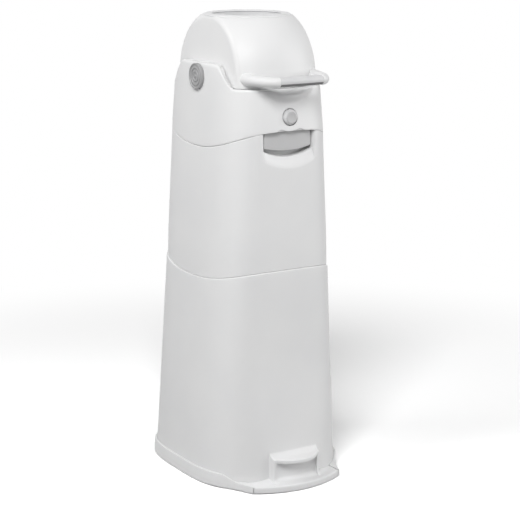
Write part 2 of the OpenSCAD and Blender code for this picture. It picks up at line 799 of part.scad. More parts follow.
head_screw_z = hinge_z + 14;
head_screw_x = 7;
head_screw_y = back_y(head_screw_z) - wall - 2;
head_screw_r = 1.5;

module head_screw_holes() {
    for (s = [-1, 1])
        rod([s * head_screw_x, head_screw_y - 1, head_screw_z], "y", past, head_screw_r + screw_gap);
}

module head_screws() {
    color(steel_c) place() for (s = [-1, 1]) {
        rod([s * head_screw_x, hinge_d + 1.1, head_screw_z], "y", 1.6, 2 * head_screw_r + 0.2);
        rod([s * head_screw_x, head_screw_y, head_screw_z], "y", hinge_d + 1.6 - head_screw_y, head_screw_r);
    }
}

// ---- Drum ----

split_z = -12;
trunnion_flange_r = 15;
tube_out_r = chamber_r + chamber_wall;
boss_x = 26;
boss_y = 82;
boss_spots = [[-boss_x, -boss_y], [boss_x, -boss_y], [-boss_x, boss_y], [boss_x, boss_y]];
boss_r = 5;
boss_h = 20;
drum_screw_r = 1.5;
drum_screw_l = 34;
drum_screw_z = split_z - boss_h - 2;

// Half outline of the drum's ball, with a soft edge of radius f between the ball and its flat sides.
// It runs along one flat side, round its edge, over the ball and round the other edge.
ball_steps = 14;
edge_steps = 5;
function ball_outline(r, hw, f) = let(
    edge_x = hw - f,
    edge_d = sqrt((r - f) * (r - f) - edge_x * edge_x),
    edge_a = atan2(edge_x, edge_d)) concat(
        [[0, -hw]],
        [for (k = [0:edge_steps - 1]) let(a = -90 + (90 - edge_a) * k / edge_steps)
            [edge_d + f * cos(a), -edge_x + f * sin(a)]],
        [for (k = [0:ball_steps]) let(a = edge_a * (2 * k / ball_steps - 1)) [r * cos(a), r * sin(a)]],
        [for (k = [1:edge_steps]) let(a = edge_a + (90 - edge_a) * k / edge_steps)
            [edge_d + f * cos(a), edge_x + f * sin(a)]],
        [[0, hw]]);

module ball_skin(r, hw, hh, f) {
    intersection() {
        rotate([0, 90, 0]) rotate_extrude($fn = 120) polygon(ball_outline(r, hw, f));
        cube([2 * hw + 2, 3 * r, 2 * hh], center = true);
    }
}

module drum_shell(upper) {
    lo = upper ? split_z + 0.05 : -past;
    hi = upper ? past : split_z - 0.05;
    translate([0, 0, pivot_z]) difference() {
        union() {
            difference() {
                ball_skin(drum_r, drum_half_w, drum_half_h, drum_edge_r);
                ball_skin(drum_r - drum_wall, drum_half_w - drum_wall, drum_half_h - drum_wall,
                    drum_edge_r - drum_wall);
            }
            intersection() {
                for (b = boss_spots) {
                    rod([b.x, b.y, split_z - boss_h], "z", 2 * boss_h, boss_r);
                    block([b.x - 1.5, min(b.y, sign(b.y) * drum_r), split_z - boss_h],
                        [b.x + 1.5, max(b.y, sign(b.y) * drum_r), split_z + boss_h]);
                }
                sphere(r = drum_r - drum_wall / 2, $fn = 96);
            }
        }
        difference() {
            cube(2 * past, center = true);
            block([-past, -past, lo], [past, past, hi]);
        }
        rod([0, 0, -past], "z", 2 * past, tube_out_r + seat_gap);
        rod([-past, 0, 0], "x", 2 * past, trunnion_r + seat_gap);
        for (s = [-1, 1]) rod([s * bow_x0, -drum_r - 10, handle_up], "y", 40, bow_peg_r + 0.05);
        for (b = boss_spots)
            rod([b.x, b.y, drum_screw_z - 8], "z", drum_screw_l + 10, drum_screw_r + screw_gap);
    }
}

module drum_upper_shell() {
    color(white_c) place() drum_shell(true);
}

module drum_lower_shell() {
    color(white_c) place() drum_shell(false);
}

module drum_screws() {
    color(steel_c) place() translate([0, 0, pivot_z]) for (b = boss_spots) {
        rod([b.x, b.y, drum_screw_z], "z", drum_screw_l, drum_screw_r);
        rod([b.x, b.y, drum_screw_z], "z", 1.9, 2 * drum_screw_r);
    }
}

module chamber_tube() {
    color(white_c) place() translate([0, 0, pivot_z]) difference() {
        rod([0, 0, -drum_half_h], "z", 2 * drum_half_h, tube_out_r);
        rod([0, 0, -past], "z", 2 * past, chamber_r);
    }
}

collar_h = 9;

module ring_trim(up) {
    color(grey_c) place() translate([0, 0, pivot_z]) mirror([0, 0, up ? 0 : 1]) rotate_extrude($fn = 120) {
        z0 = drum_half_h + 0.05;
        round_r = ring_h - 0.4;
        translate([ring_bore_r, z0]) square([ring_r - ring_bore_r - round_r, ring_h]);
        translate([ring_bore_r, z0]) square([ring_r - ring_bore_r, ring_h - round_r]);
        translate([ring_r - round_r, z0 + ring_h - round_r]) intersection() {
            circle(r = round_r, $fn = 32);
            square(round_r);
        }
        translate([ring_bore_r, z0 - collar_h]) square([chamber_r - 0.1 - ring_bore_r, collar_h]);
    }
}

module ring_trim_top() {
    ring_trim(true);
}

module ring_trim_bottom() {
    ring_trim(false);
}

trunnion_l = 3.5;
trunnion_end_x = pad_x + trunnion_l;

module drum_trunnions() {
    color(white_c) place() for (s = [-1, 1]) mirror([s < 0 ? 1 : 0, 0, 0]) {
        flange_x = drum_half_w - drum_wall - 0.1;
        rod([tube_out_r + seat_gap, 0, pivot_z], "x", flange_x - tube_out_r - seat_gap, trunnion_flange_r);
        rod([flange_x - 1, 0, pivot_z], "x", trunnion_end_x - flange_x + 1, trunnion_r);
    }
}

module side_knob(s) {
    color(grey_c) place() mirror([s < 0 ? 1 : 0, 0, 0]) difference() {
        union() {
            rod([pad_x + 0.5, 0, pivot_z], "x", knob_t - 1, knob_r);
            rod([pad_x + knob_t - 0.5, 0, pivot_z], "x", 1, knob_r, knob_r - 1);
        }
        rod([pad_x, 0, pivot_z], "x", trunnion_l + seat_gap, trunnion_r + 0.05);
    }
}

module side_knob_left() {
    side_knob(-1);
}

module side_knob_right() {
    side_knob(1);
}

// ---- Handle ----

// One arm's centre line from the drum to the grip, a cubic curve through these two ends and two guide points
bow_x0 = 54;
bow_start_y = -sqrt(drum_r * drum_r - bow_x0 * bow_x0 - handle_up * handle_up);
bow_peg_r = 3;
bow_core_r = 4;
bow_steps = 12;
bow_sides = 16;
bow_end_x = grip_len / 2;
bow_a = [bow_x0, bow_start_y + 3];
bow_b = [bow_x0 + 8, bow_start_y - 15.6];
bow_c = [bow_end_x + 9.5, -grip_reach];
bow_d = [bow_end_x, -grip_reach];
function bow_point(t) = pow(1 - t, 3) * bow_a + 3 * t * pow(1 - t, 2) * bow_b + 3 * t * t * (1 - t) * bow_c
    + pow(t, 3) * bow_d;
function bow_dir(t) = let(d = 3 * pow(1 - t, 2) * (bow_b - bow_a) + 6 * t * (1 - t) * (bow_c - bow_b)
    + 3 * t * t * (bow_d - bow_c)) d / norm(d);

module bow_arm() {
    pts = [for (k = [0:bow_steps]) let(t = k / bow_steps, c = bow_point(t), d = bow_dir(t))
        for (j = [0:bow_sides - 1]) let(b = 360 * j / bow_sides)
        [c.x + bow_r * cos(b) * d.y, c.y - bow_r * cos(b) * d.x, bow_r * sin(b)]];
    end = bow_steps * bow_sides;
    polyhedron(
        points = pts,
        faces = concat(
            [for (k = [0:bow_steps - 1]) for (j = [0:bow_sides - 1])
                let(a = k * bow_sides + j, b = k * bow_sides + (j + 1) % bow_sides)
                each [[a, b, b + bow_sides], [a, b + bow_sides, a + bow_sides]]],
            [[for (j = [bow_sides - 1:-1:0]) j]],
            [[for (j = [0:bow_sides - 1]) end + j]]));
}

module handle_bow() {
    color(white_c) place() translate([0, 0, pivot_z + handle_up]) difference() {
        union() {
            for (s = [-1, 1]) mirror([s < 0 ? 1 : 0, 0, 0]) {
                bow_arm();
                rod([bow_x0, bow_start_y - 2, 0], "y", 14, bow_peg_r);
            }
            rod([-bow_end_x - 4, -grip_reach, 0], "x", grip_len + 8, bow_core_r);
        }
        translate([0, 0, -handle_up]) sphere(r = drum_r + 0.3, $fn = 96);
    }
}

module handle_grip() {
    color(grey_c) place() translate([0, 0, pivot_z + handle_up]) difference() {
        rod([-bow_end_x + 0.3, -grip_reach, 0], "x", grip_len - 0.6, grip_r);
        rod([-past, -grip_reach, 0], "x", 2 * past, bow_core_r + 0.05);
    }
}

// ---- Piston ----

piston_z0 = pivot_z - drum_half_h - 0.05 + collar_h + seat_gap;
piston_wall = 2.4;

module piston_cup() {
    color(white_c) place() difference() {
        rod([0, 0, piston_z0], "z", piston_h - piston_wall, piston_r);
        rod([0, 0, piston_z0 + piston_wall], "z", piston_h, piston_r - piston_wall);
    }
}

module piston_lid() {
    color(white_c) place() {
        rod([0, 0, piston_z0 + piston_h - piston_wall + 0.02], "z", piston_wall, piston_r);
        rod([0, 0, piston_z0 + piston_h - piston_wall - 4], "z", 5, piston_r - piston_wall - 0.2);
    }
}

module piston_weight() {
    color(steel_c) place() rod([0, 0, piston_z0 + piston_wall + 0.02], "z", weight_t, weight_r);
}

base_tray();
foot_plate();
foot_ledge();
rubber_feet();
base_screws();
lower_body();
upper_body();
bag_ring();
latch_keeper();
hinge_body_leaf();
hinge_pin();
head_shell();
lift_tab();
drum_seal_frame();
pivot_bushes();
button_guide();
latch_pin();
hinge_head_leaf();
head_screws();
drum_upper_shell();
drum_lower_shell();
chamber_tube();
ring_trim_top();
ring_trim_bottom();
drum_trunnions();
drum_screws();
side_knob_left();
side_knob_right();
handle_bow();
handle_grip();
piston_cup();
piston_lid();
piston_weight();
push_button();
button_spring();
latch_lever();
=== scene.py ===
import json

import bmesh
import bpy
import numpy as np
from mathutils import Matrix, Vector


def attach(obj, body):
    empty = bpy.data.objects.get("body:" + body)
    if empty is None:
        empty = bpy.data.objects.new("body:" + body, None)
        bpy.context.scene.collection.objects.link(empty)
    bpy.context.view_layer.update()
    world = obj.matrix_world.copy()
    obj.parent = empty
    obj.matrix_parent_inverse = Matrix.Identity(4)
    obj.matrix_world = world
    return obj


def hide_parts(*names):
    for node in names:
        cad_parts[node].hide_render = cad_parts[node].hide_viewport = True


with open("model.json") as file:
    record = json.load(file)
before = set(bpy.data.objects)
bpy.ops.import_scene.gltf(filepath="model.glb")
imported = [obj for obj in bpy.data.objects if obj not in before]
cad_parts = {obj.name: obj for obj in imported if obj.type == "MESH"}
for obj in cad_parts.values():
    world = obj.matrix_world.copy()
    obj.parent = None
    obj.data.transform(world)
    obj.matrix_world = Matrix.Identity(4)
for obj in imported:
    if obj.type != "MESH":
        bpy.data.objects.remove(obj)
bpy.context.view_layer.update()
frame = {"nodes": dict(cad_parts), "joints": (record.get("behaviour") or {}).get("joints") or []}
nodes = frame["nodes"]
jointPlace = {joint["name"]: joint.get("pos_m") for joint in frame["joints"]}
pivotY, pivotZ = jointPlace["drum_flip"][1:]  # the drum turns about this line; shapes are drawn about it
mm = 0.001
tiny = 1e-9
samples = {"line": 20001, "outline": 80001, "drum": 4001}  # points in the sums that space rows and columns
print("frame loaded, the drum turns at height", pivotZ)


# small sums that many pieces share

def smoothStep(share):
    # 0 below 0, 1 above 1, and a cubic with level ends in between
    held = np.clip(share, 0, 1)
    return held * held * (3 - 2 * held)


def pick(form, names):
    # the values of a dictionary whose names are given in one string
    return [form[name] for name in names.split()]


def evenSteps(dense, steps):
    # the values at which the running sum of the steps reaches evenly spread numbers, about 1 apart
    total = np.concatenate([[0], np.cumsum(steps)])
    return np.interp(np.linspace(0, total[-1], int(np.ceil(total[-1])) + 1), total, dense)


def fineValues(low, high, step, spots, reach, fine):
    # values from low to high, step apart, and closer (fine apart) within reach of each spot
    dense = np.linspace(low, high, samples["line"])
    local = np.full(dense.shape, float(step))
    for spot in spots:
        near = np.exp(-(((dense - spot) / reach) ** 2))
        local = np.minimum(local, step * (1 - near) + fine * near)
    return evenSteps(dense, np.diff(dense) / local[1:])


def cornerArc(start, corner, end, steps=5):
    # points of a quarter-round corner between two (along, across) places: corner plus the two
    # sides shrunk by 1 - sine and 1 - cosine
    turn = np.linspace(0, np.pi / 2, steps + 1)[:, None]
    start, corner, end = (np.array(p, float) for p in (start, corner, end))
    return corner + (start - corner) * (1 - np.sin(turn)) + (end - corner) * (1 - np.cos(turn))


def rowTable(*parts):
    # joins single rows and arrays of rows to one table, and leaves out a row that repeats the last
    rows = np.vstack([np.atleast_2d(np.array(part, float)) for part in parts])
    keep = np.concatenate([[True], np.abs(np.diff(rows, axis=0)).max(1) > tiny])
    return rows[keep]


def closeSides(points):
    # adds a pole at each side of a grid: the middle of its first and of its last column
    poles = [points[:, k:k + 1].mean(0, keepdims=True) for k in (0, points.shape[1] - 1)]
    first, last = (np.repeat(pole, len(points), 0) for pole in poles)
    return np.concatenate([first, points, last], 1)


# meshes from grids

def newObject(name, data):
    made = bpy.data.objects.new(name, data)
    bpy.context.scene.collection.objects.link(made)
    return made


def gridFaces(rows, cols, wrapRows, wrapCols, first):
    # one four-sided face for each cell, from the cell's row and column to the next ones
    r, c = np.meshgrid(np.arange(rows - (not wrapRows)), np.arange(cols - (not wrapCols)), indexing="ij")
    r2, c2 = (r + 1) % rows, (c + 1) % cols
    return first + np.stack([r * cols + c, r * cols + c2, r2 * cols + c2, r2 * cols + c], -1).reshape(-1, 4)


meshForm = {"merge": 2e-6, "sliver": 1e-6, "sharp": 38}  # two lengths in metres, and an angle in degrees


def makePiece(name, grids, body, finish):
    # grids are (points, wrapRows, wrapCols); points are in metres about the pivot line's foot. The
    # piece stands for the node of its own name, spelt with underscores.
    points, faces, first = [], [], 0
    for grid, wrapRows, wrapCols in grids:
        rows, cols = grid.shape[:2]
        faces.append(gridFaces(rows, cols, wrapRows, wrapCols, first))
        points.append(grid.reshape(-1, 3))
        first += rows * cols
    places = np.concatenate(points) + [0, pivotY, 0]
    mesh = bpy.data.meshes.new(name)
    mesh.from_pydata(places.tolist(), [], np.concatenate(faces).tolist())
    work = bmesh.new()
    work.from_mesh(mesh)
    bmesh.ops.remove_doubles(work, verts=work.verts, dist=meshForm["merge"])
    bmesh.ops.dissolve_degenerate(work, edges=work.edges, dist=meshForm["sliver"])
    bmesh.ops.recalc_face_normals(work, faces=work.faces)
    work.to_mesh(mesh)
    work.free()
    mesh.shade_smooth()
    mesh.set_sharp_from_angle(angle=np.radians(meshForm["sharp"]))
    piece = newObject(name, mesh)
    for one in finish if isinstance(finish, list) else [finish]:
        mesh.materials.append(one)
    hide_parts("".join("_" + letter.lower() if letter.isupper() else letter for letter in name))
    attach(piece, body)
    return piece


def secondFinish(piece, chosen):
    # gives the piece's second finish to the faces whose middles, about the pivot line's foot, are chosen;
    # here it paints shade under the grip and light on the button's side
    middles = np.empty(len(piece.data.polygons) * 3)
    piece.data.polygons.foreach_get("center", middles)
    x, y, z = (middles.reshape(-1, 3) - [0, pivotY, 0]).T
    piece.data.polygons.foreach_set("material_index", chosen(x, y, z).astype(np.int32))
    piece.data.update()


def lathe(profile, axis, centre, turns=96):
    # profile is (along the axis, radius); each profile point is carried round the axis in even steps
    along, radius = np.array(profile, float).T
    angle = np.linspace(0, 2 * np.pi, turns, endpoint=False)
    a = np.repeat(along[:, None], turns, 1)
    p, q = radius[:, None] * np.cos(angle), radius[:, None] * np.sin(angle)
    order = {"x": (a, p, q), "y": (p, a, q), "z": (p, q, a)}[axis]
    return np.stack(order, -1) + np.array(centre, float)


# finishes

def newMaterial(name):
    material = bpy.data.materials.new(name)
    material.use_nodes = True
    tree = material.node_tree
    return material, tree, tree.nodes["Principled BSDF"]


def addNode(tree, kind, **settings):
    # settings that start with i_ are input sockets, by name without the i_ and with spaces for _
    node = tree.nodes.new(kind)
    for key, value in settings.items():
        if key.startswith("i_"):
            node.inputs[key[2:].replace("_", " ")].default_value = value
        else:
            setattr(node, key, value)
    return node


def linkAll(tree, *links):
    # each link is a node and its output, then a node and its input
    for source, output, target, socket in links:
        tree.links.new(source.outputs[output], target.inputs[socket])


plasticForm = {"spread": (0.35, 0.65), "smear": 3.1, "deep": 0.2 * mm}


def dressShader(tree, shader, look, toneBy, glossBy, bumpBy, deep):
    # one noise picks the tone between dark and light, one the roughness, and one the bump's height
    tone = addNode(tree, "ShaderNodeValToRGB")
    gloss = addNode(tree, "ShaderNodeMapRange", i_To_Min=look["rough"][0], i_To_Max=look["rough"][1])
    bump = addNode(tree, "ShaderNodeBump", i_Strength=look["bump"], i_Distance=deep)
    for stop, shade, place in zip(tone.color_ramp.elements, ("dark", "light"), look["spread"]):
        stop.color, stop.position = (*look[shade], 1), place
    linkAll(tree, (toneBy, "Fac", tone, "Fac"), (tone, "Color", shader, "Base Color"),
            (glossBy, "Fac", gloss, "Value"), (gloss, "Result", shader, "Roughness"),
            (bumpBy, "Fac", bump, "Height"), (bump, "Normal", shader, "Normal"))


def plastic(name, look):
    # two close tones mixed by a broad cloud, a fine mould grain in the bump, and a roughness that
    # drifts a little with a second cloud; all of it in object coordinates
    form = plasticForm
    material, tree, shader = newMaterial(name)
    place = addNode(tree, "ShaderNodeTexCoord")
    cloud = addNode(tree, "ShaderNodeTexNoise", i_Scale=look["cloud"], i_Detail=3.0)
    smear = addNode(tree, "ShaderNodeTexNoise", i_Scale=look["cloud"] * form["smear"], i_Detail=4.0)
    grain = addNode(tree, "ShaderNodeTexNoise", i_Scale=look["grain"], i_Detail=2.0)
    linkAll(tree, *((place, "Object", node, "Vector") for node in (cloud, smear, grain)))
    dressShader(tree, shader, {**look, "spread": form["spread"]}, cloud, smear, grain, form["deep"])
    shader.inputs["Specular IOR Level"].default_value = look["shine"]
    return material


def brushedSteel(name, look):
    # a noise stretched along X stands for the brushing: it picks the tone, drifts the roughness and
    # tilts the bump
    material, tree, shader = newMaterial(name)
    place = addNode(tree, "ShaderNodeTexCoord")
    stretch = addNode(tree, "ShaderNodeMapping", i_Scale=(look["along"], look["across"], look["across"]))
    brush = addNode(tree, "ShaderNodeTexNoise", i_Scale=1.0, i_Detail=5.0)
    linkAll(tree, (place, "Object", stretch, "Vector"), (stretch, "Vector", brush, "Vector"))
    dressShader(tree, shader, look, brush, brush, brush, look["deep"])
    shader.inputs["Metallic"].default_value = 1.0
    return material


plasticLooks = {
    "whiteShell": {"light": (0.8, 0.8, 0.8), "dark": (0.775, 0.776, 0.78), "cloud": 9,
                   "rough": (0.34, 0.46), "grain": 1500, "bump": 0.12, "shine": 0.25},
    "innerWhite": {"light": (0.72, 0.72, 0.72), "dark": (0.69, 0.69, 0.7), "cloud": 12,
                   "rough": (0.45, 0.55), "grain": 1100, "bump": 0.2, "shine": 0.4},
    "greyTrim": {"light": (0.34, 0.34, 0.344), "dark": (0.315, 0.315, 0.32), "cloud": 25,
                 "rough": (0.3, 0.42), "grain": 2400, "bump": 0.22, "shine": 0.6},
    "greyRing": {"light": (0.78, 0.78, 0.785), "dark": (0.75, 0.75, 0.757), "cloud": 25,
                 "rough": (0.3, 0.4), "grain": 2400, "bump": 0.15, "shine": 0.4},
    "greyGrip": {"light": (0.68, 0.68, 0.685), "dark": (0.64, 0.64, 0.65), "cloud": 40,
                 "rough": (0.26, 0.34), "grain": 2600, "bump": 0.1, "shine": 0.5},
    # painted light: a lighter grey for the button's sloping side, standing in for the light that falls on it
    "greySide": {"light": (0.66, 0.66, 0.665), "dark": (0.63, 0.63, 0.638), "cloud": 40,
                 "rough": (0.24, 0.32), "grain": 2600, "bump": 0.1, "shine": 0.6},
    "greyTab": {"light": (0.525, 0.525, 0.528), "dark": (0.505, 0.505, 0.508), "cloud": 22,
                "rough": (0.36, 0.48), "grain": 2000, "bump": 0.18, "shine": 0.5},
    # painted shade: a near-black grey for the grip's lower faces, standing in for the shadow under the grip
    "greyUnder": {"light": (0.2, 0.2, 0.203), "dark": (0.18, 0.18, 0.183), "cloud": 40,
                  "rough": (0.5, 0.62), "grain": 1900, "bump": 0.3, "shine": 0.35},
    "darkRubber": {"light": (0.035, 0.035, 0.037), "dark": (0.022, 0.022, 0.024), "cloud": 60,
                   "rough": (0.65, 0.82), "grain": 1700, "bump": 0.5, "shine": 0.3},
}
steelLook = {"light": (0.62, 0.62, 0.63), "dark": (0.48, 0.48, 0.5), "spread": (0, 1), "along": 60,
             "across": 2200, "rough": (0.24, 0.4), "bump": 0.25, "deep": 0.1 * mm}

whiteShell, innerWhite, greyTrim, greyRing, greyGrip, greySide, greyTab, greyUnder, darkRubber = (
    plastic(name, look) for name, look in plasticLooks.items())
steel = brushedSteel("brushedSteel", steelLook)
print("finishes made")


# the body's outside

bodyForm = {
    "squareness": 3.4,
    "widthAt": ((0, 311, 507, 610, 640), (118, 98, 87.6, 84, 82)),  # heights and half widths, in mm
    "depthAt": ((0, 332, 537, 598, 640), (135.8, 132.5, 126.8, 119, 118)),
    "middleAt": ((0, 332, 537), (10.4, 3.3, 1.2)),
    "wall": 3 * mm, "seatGap": 0.3 * mm, "earsFrom": 0.76, "earsTo": 0.42,
    "toeOut": 10 * mm, "toeFrom": 106 * mm, "toeTo": 44 * mm, "toeTop": 210 * mm, "toeLow": 50 * mm,
    "spaceHalf": 88 * mm, "spaceDeep": 125 * mm, "fineHalf": 64 * mm,  # the outline that spaces columns
}


def bodyAt(size, height):
    # the half width, the half depth or the middle of the body at a height, straight between its stops
    return np.interp(height, *(np.array(bodyForm[size]) * mm))


def toeOut(x, height):
    # the foot of the front wall swells forward over the foot plate: a smooth step across the width
    # times a smooth step down the height
    out, wide, full, top, low = pick(bodyForm, "toeOut toeFrom toeTo toeTop toeLow")
    across = smoothStep((wide - np.abs(x)) / (wide - full))
    return out * across * smoothStep((top - height) / (top - low))


def frontY(x, height):
    # the front wall at a width and a height: middle less depth times the root of what the width leaves
    share = np.clip(np.abs(x) / bodyAt("widthAt", height), 0, 1)
    power = bodyForm["squareness"]
    flat = bodyAt("middleAt", height) - bodyAt("depthAt", height) * (1 - share ** power) ** (1 / power)
    return flat - toeOut(x, height)


def outlineShare(angle):
    # plan position of a point, from -1 to 1: cosine and sine to the power 2 / squareness
    c, s = np.cos(angle), np.sin(angle)
    power = 2 / bodyForm["squareness"]
    return np.sign(c) * np.abs(c) ** power, np.sign(s) * np.abs(s) ** power


def evenAngles(step, spots=(), reach=3 * mm, fine=0.6 * mm, frontStep=None):
    # angles whose points lie step apart along the plan outline, frontStep apart across its front's
    # middle, and closer together at the front's spots (given as x)
    dense = np.linspace(0, 2 * np.pi, samples["outline"]) + 0.5 * np.pi
    u, v = outlineShare(dense)
    x, y = u * bodyForm["spaceHalf"], v * bodyForm["spaceDeep"]
    local = np.full(dense.shape, float(step))
    front = y < 0
    if frontStep:
        local = np.where(front & (np.abs(x) < bodyForm["fineHalf"]), frontStep, local)
    for spot in spots:
        near = np.where(front, np.exp(-(((x - spot) / reach) ** 2)), 0)
        local = np.minimum(local, local * (1 - near) + fine * near)
    return evenSteps(dense, np.hypot(np.diff(x), np.diff(y)) / local[1:])[:-1]


def earShare(v):
    # how much of the ears' height a point has: all near the pivot, none towards front and back
    none, full = pick(bodyForm, "earsFrom earsTo")
    return smoothStep((none - np.abs(v)) / (none - full))


def wallPoints(angle, rows):
    # rows are (height, rise to front and back, ears, inset). Height of a point: height + rise v^2 +
    # ears' share; x and y: the half sizes at that height, less the inset, times the plan position
    u, v = outlineShare(angle)
    height, rise, ears, inset = (column[:, None] for column in rows.T)
    h = height + rise * v ** 2 + ears * earShare(v)
    x = (bodyAt("widthAt", h) - inset) * u
    y = bodyAt("middleAt", h) + (bodyAt("depthAt", h) - inset) * v
    return np.stack([x, y - toeOut(x, h) * (v < 0), h], -1)


# base

baseForm = {"low": 1.5 * mm, "high": 23 * mm, "out": 3.4 * mm, "edge": 1.6 * mm, "bevel": 0.4 * mm,
            "floorLow": 5 * mm, "floorHigh": 8 * mm, "floorGap": 0.2 * mm, "floorMiddle": 10 * mm,
            "notchHalf": 76 * mm, "plateBack": 118 * mm, "plateGap": 0.3 * mm, "flareOut": 24.5 * mm,
            "flareFrom": 104 * mm, "flareTo": 75.4 * mm, "flarePower": 2.2, "flareDrop": 10.5 * mm,
            "dropHaste": 1.6, "fineAt": (-84 * mm, 84 * mm, -70 * mm, 70 * mm)}


def baseRim():
    # the rim's cross-section, with rounded top and bottom edges, is carried round the body from one
    # side of the foot plate to the other. Towards each end its outside swings forward, as a power of
    # the way to the plate, and its top comes down to the plate's.
    form = baseForm
    out, low, high, edge, bevel, wide, full = pick(form, "out low high edge bevel flareFrom flareTo")
    inner = bodyForm["seatGap"]
    profile = rowTable(
        [[low, -inner]], cornerArc((low, -out + edge), (low, -out), (low + edge, -out)), [[high / 2, -out]],
        cornerArc((high - edge, -out), (high, -out), (high, -out + edge)),
        [[high, -inner - bevel], [high - bevel, -inner], [low, -inner]])
    rows = np.column_stack([profile[:, 0], np.zeros((len(profile), 2)), profile[:, 1]])
    points = wallPoints(evenAngles(2.5 * mm, form["fineAt"], 8 * mm, 0.8 * mm), rows)
    outline = points[1]
    inNotch = (outline[:, 1] < 0) & (np.abs(outline[:, 0]) < form["notchHalf"])
    order = np.roll(np.arange(len(outline)), -np.argmax(inNotch))
    points = points[:, order[~inNotch[order]]]
    x, y = points[..., 0], points[..., 1]
    share = np.clip((wide - np.abs(x)) / (wide - full), 0, 1) * (y < 0)
    up = np.clip((points[..., 2] - low) / (high - low), 0, 1)
    outside = (profile[:, 1] < -inner - bevel / 4)[:, None]
    points[..., 1] = y - share ** form["flarePower"] * form["flareOut"] * outside
    points[..., 2] -= smoothStep(share * form["dropHaste"]) * up * form["flareDrop"]
    return closeSides(points)


def baseFloor():
    # a flat plate inside the rim: pole, outline at the low face, outline at the high face, pole
    form = baseForm
    heights = pick(form, "floorLow floorLow floorHigh floorHigh")
    rows = np.array([[height, 0, 0, form["floorGap"]] for height in heights])
    points = wallPoints(evenAngles(4 * mm), rows)
    points[[0, -1], :, :2] = [0, form["floorMiddle"]]
    behind = form["plateGap"] - form["plateBack"]
    cut = (np.abs(points[..., 0]) < form["notchHalf"]) & (points[..., 1] < behind)
    points[..., 1] = np.where(cut, behind, points[..., 1])
    return points


makePiece("baseTray", [(baseRim(), True, False), (baseFloor(), False, True)], "root", whiteShell)

plateForm = {"half": 75 * mm, "mid": 167 * mm, "end": 146 * mm, "back": 118 * mm, "low": 1.5 * mm,
             "high": 11.8 * mm, "edge": 3.2 * mm, "tongueHalf": 69 * mm, "tongueBack": 98 * mm,
             "tongueEdge": 0.5 * mm, "coveUp": 5 * mm, "coveOut": 19 * mm, "coveHalf": 72 * mm,
             "coveFull": 34 * mm, "coveGap": 0.25 * mm, "coveSink": 0.3 * mm, "coveDeep": 1 * mm}


def slabOutline(half, mid, end, back, inset, counts=(60, 11, 28)):
    # plan outline of a slab: a front arc through its middle and ends, then straight sides to the
    # back; inset moves the arc's radius and the sides inwards. The counts are the arc's, each side's
    # and the back's points.
    arc, side, rear = counts
    bow, wide = mid - end, half - inset
    radius = (half * half + bow * bow) / (2 * bow)
    x = np.linspace(-wide, wide, arc)
    arcY = radius - mid - np.sqrt((radius - inset) ** 2 - x ** 2)
    share = np.linspace(0, 1, side + 1)[1:]
    right = np.stack([np.full(side, wide), arcY[-1] + (-back - arcY[-1]) * share], -1)
    left = np.stack([np.full(side, -wide), -back + (arcY[0] + back) * share], -1)
    across = np.stack([np.linspace(wide, -wide, rear + 2)[1:-1], np.full(rear, -back)], -1)
    return np.concatenate([np.stack([x, arcY], -1), right, across, left[:-1]])


def slab(low, high, edge, half, mid, end, back):
    # the outline goes up from the low face to the high face, with a round lower and upper edge, and
    # closes at a pole on each face. The lower edge is rounded less than the upper one.
    small, past = 0.4 * edge, 1.6 * edge
    rows = rowTable([[low, small]], cornerArc((low, small), (low, 0), (low + small, 0)),
                    cornerArc((high - edge, 0), (high, 0), (high, edge), 8), [[high, past]])
    outlines = [slabOutline(half, mid, end, back, inset) for inset in rows[:, 1]]
    count = len(outlines[0])
    rings = [np.column_stack([outline, np.full(count, z)]) for outline, z in zip(outlines, rows[:, 0])]
    poles = [np.tile([0, -(mid + back) / 2, z], (count, 1)) for z in (low, high)]
    return np.stack([poles[0], *rings, poles[1]])


def plateCove():
    # the plate's top sweeps up to the body's wall: height over the plate falls as the square of what
    # is left of the way out, and towards both sides
    high, half, full, up, sink = pick(plateForm, "high coveHalf coveFull coveUp coveSink")
    x = np.linspace(-half, half, 121)
    out = np.linspace(0, 1, 12)[:, None]
    share = 1 - smoothStep((np.abs(x) - full) / (half - full))
    start = frontY(x, high) - plateForm["coveGap"]
    z = high - sink + (up * share + sink) * (1 - out) ** 2
    top = np.stack([x + 0 * z, start - plateForm["coveOut"] * out, z], -1)
    under = top[[-1, 0]] * [1, 1, 0] + [0, 0, high - plateForm["coveDeep"]]
    return closeSides(np.concatenate([top, under]))


platePoints = slab(*pick(plateForm, "low high edge half mid end back"))
plateHigh, tongueEdge, tongueHalf, tongueBack, plateBack = pick(
    plateForm, "high tongueEdge tongueHalf tongueBack back")
tonguePoints = slab(baseForm["floorHigh"], plateHigh, tongueEdge, tongueHalf, plateBack + 2 * mm,
                    plateBack + 1 * mm, tongueBack)
makePiece("footPlate", [(platePoints, False, True), (tonguePoints, False, True), (plateCove(), True, False)],
          "root", whiteShell)

ledgeForm = {"half": 40.5 * mm, "lipHalf": 36.5 * mm, "mid": 163.5 * mm, "front": 147 * mm, "top": 48 * mm,
             "thick": 5.5 * mm, "fillet": 11 * mm, "foot": 11.6 * mm, "recessHalf": 35.8 * mm,
             "recessGap": 0.05 * mm, "panel": 143 * mm, "corner": 2.5 * mm, "nose": 1.6 * mm,
             "sink": 0.6 * mm, "lipEdge": 0.6 * mm, "cove": 6 * mm, "coveShare": 0.9, "flare": 3 * mm}


def ledgeColumns():
    # places across the ledge, doubled at the recess's sides so that these stand upright, and on over
    # the flanks that sweep out to the body's wall
    recess, half, flare = pick(ledgeForm, "recessHalf half flare")
    inside = recess - ledgeForm["recessGap"]
    inner = fineValues(-inside, inside, 1.6 * mm, (-recess, recess), 2 * mm, 0.4 * mm)
    outer = fineValues(recess, half, 0.5 * mm, (half,), 1.5 * mm, 0.15 * mm)
    outer = np.concatenate([outer, half + flare * np.linspace(0, 1, 22)[1:] ** 1.5])
    return np.concatenate([-outer[::-1], inner, outer])


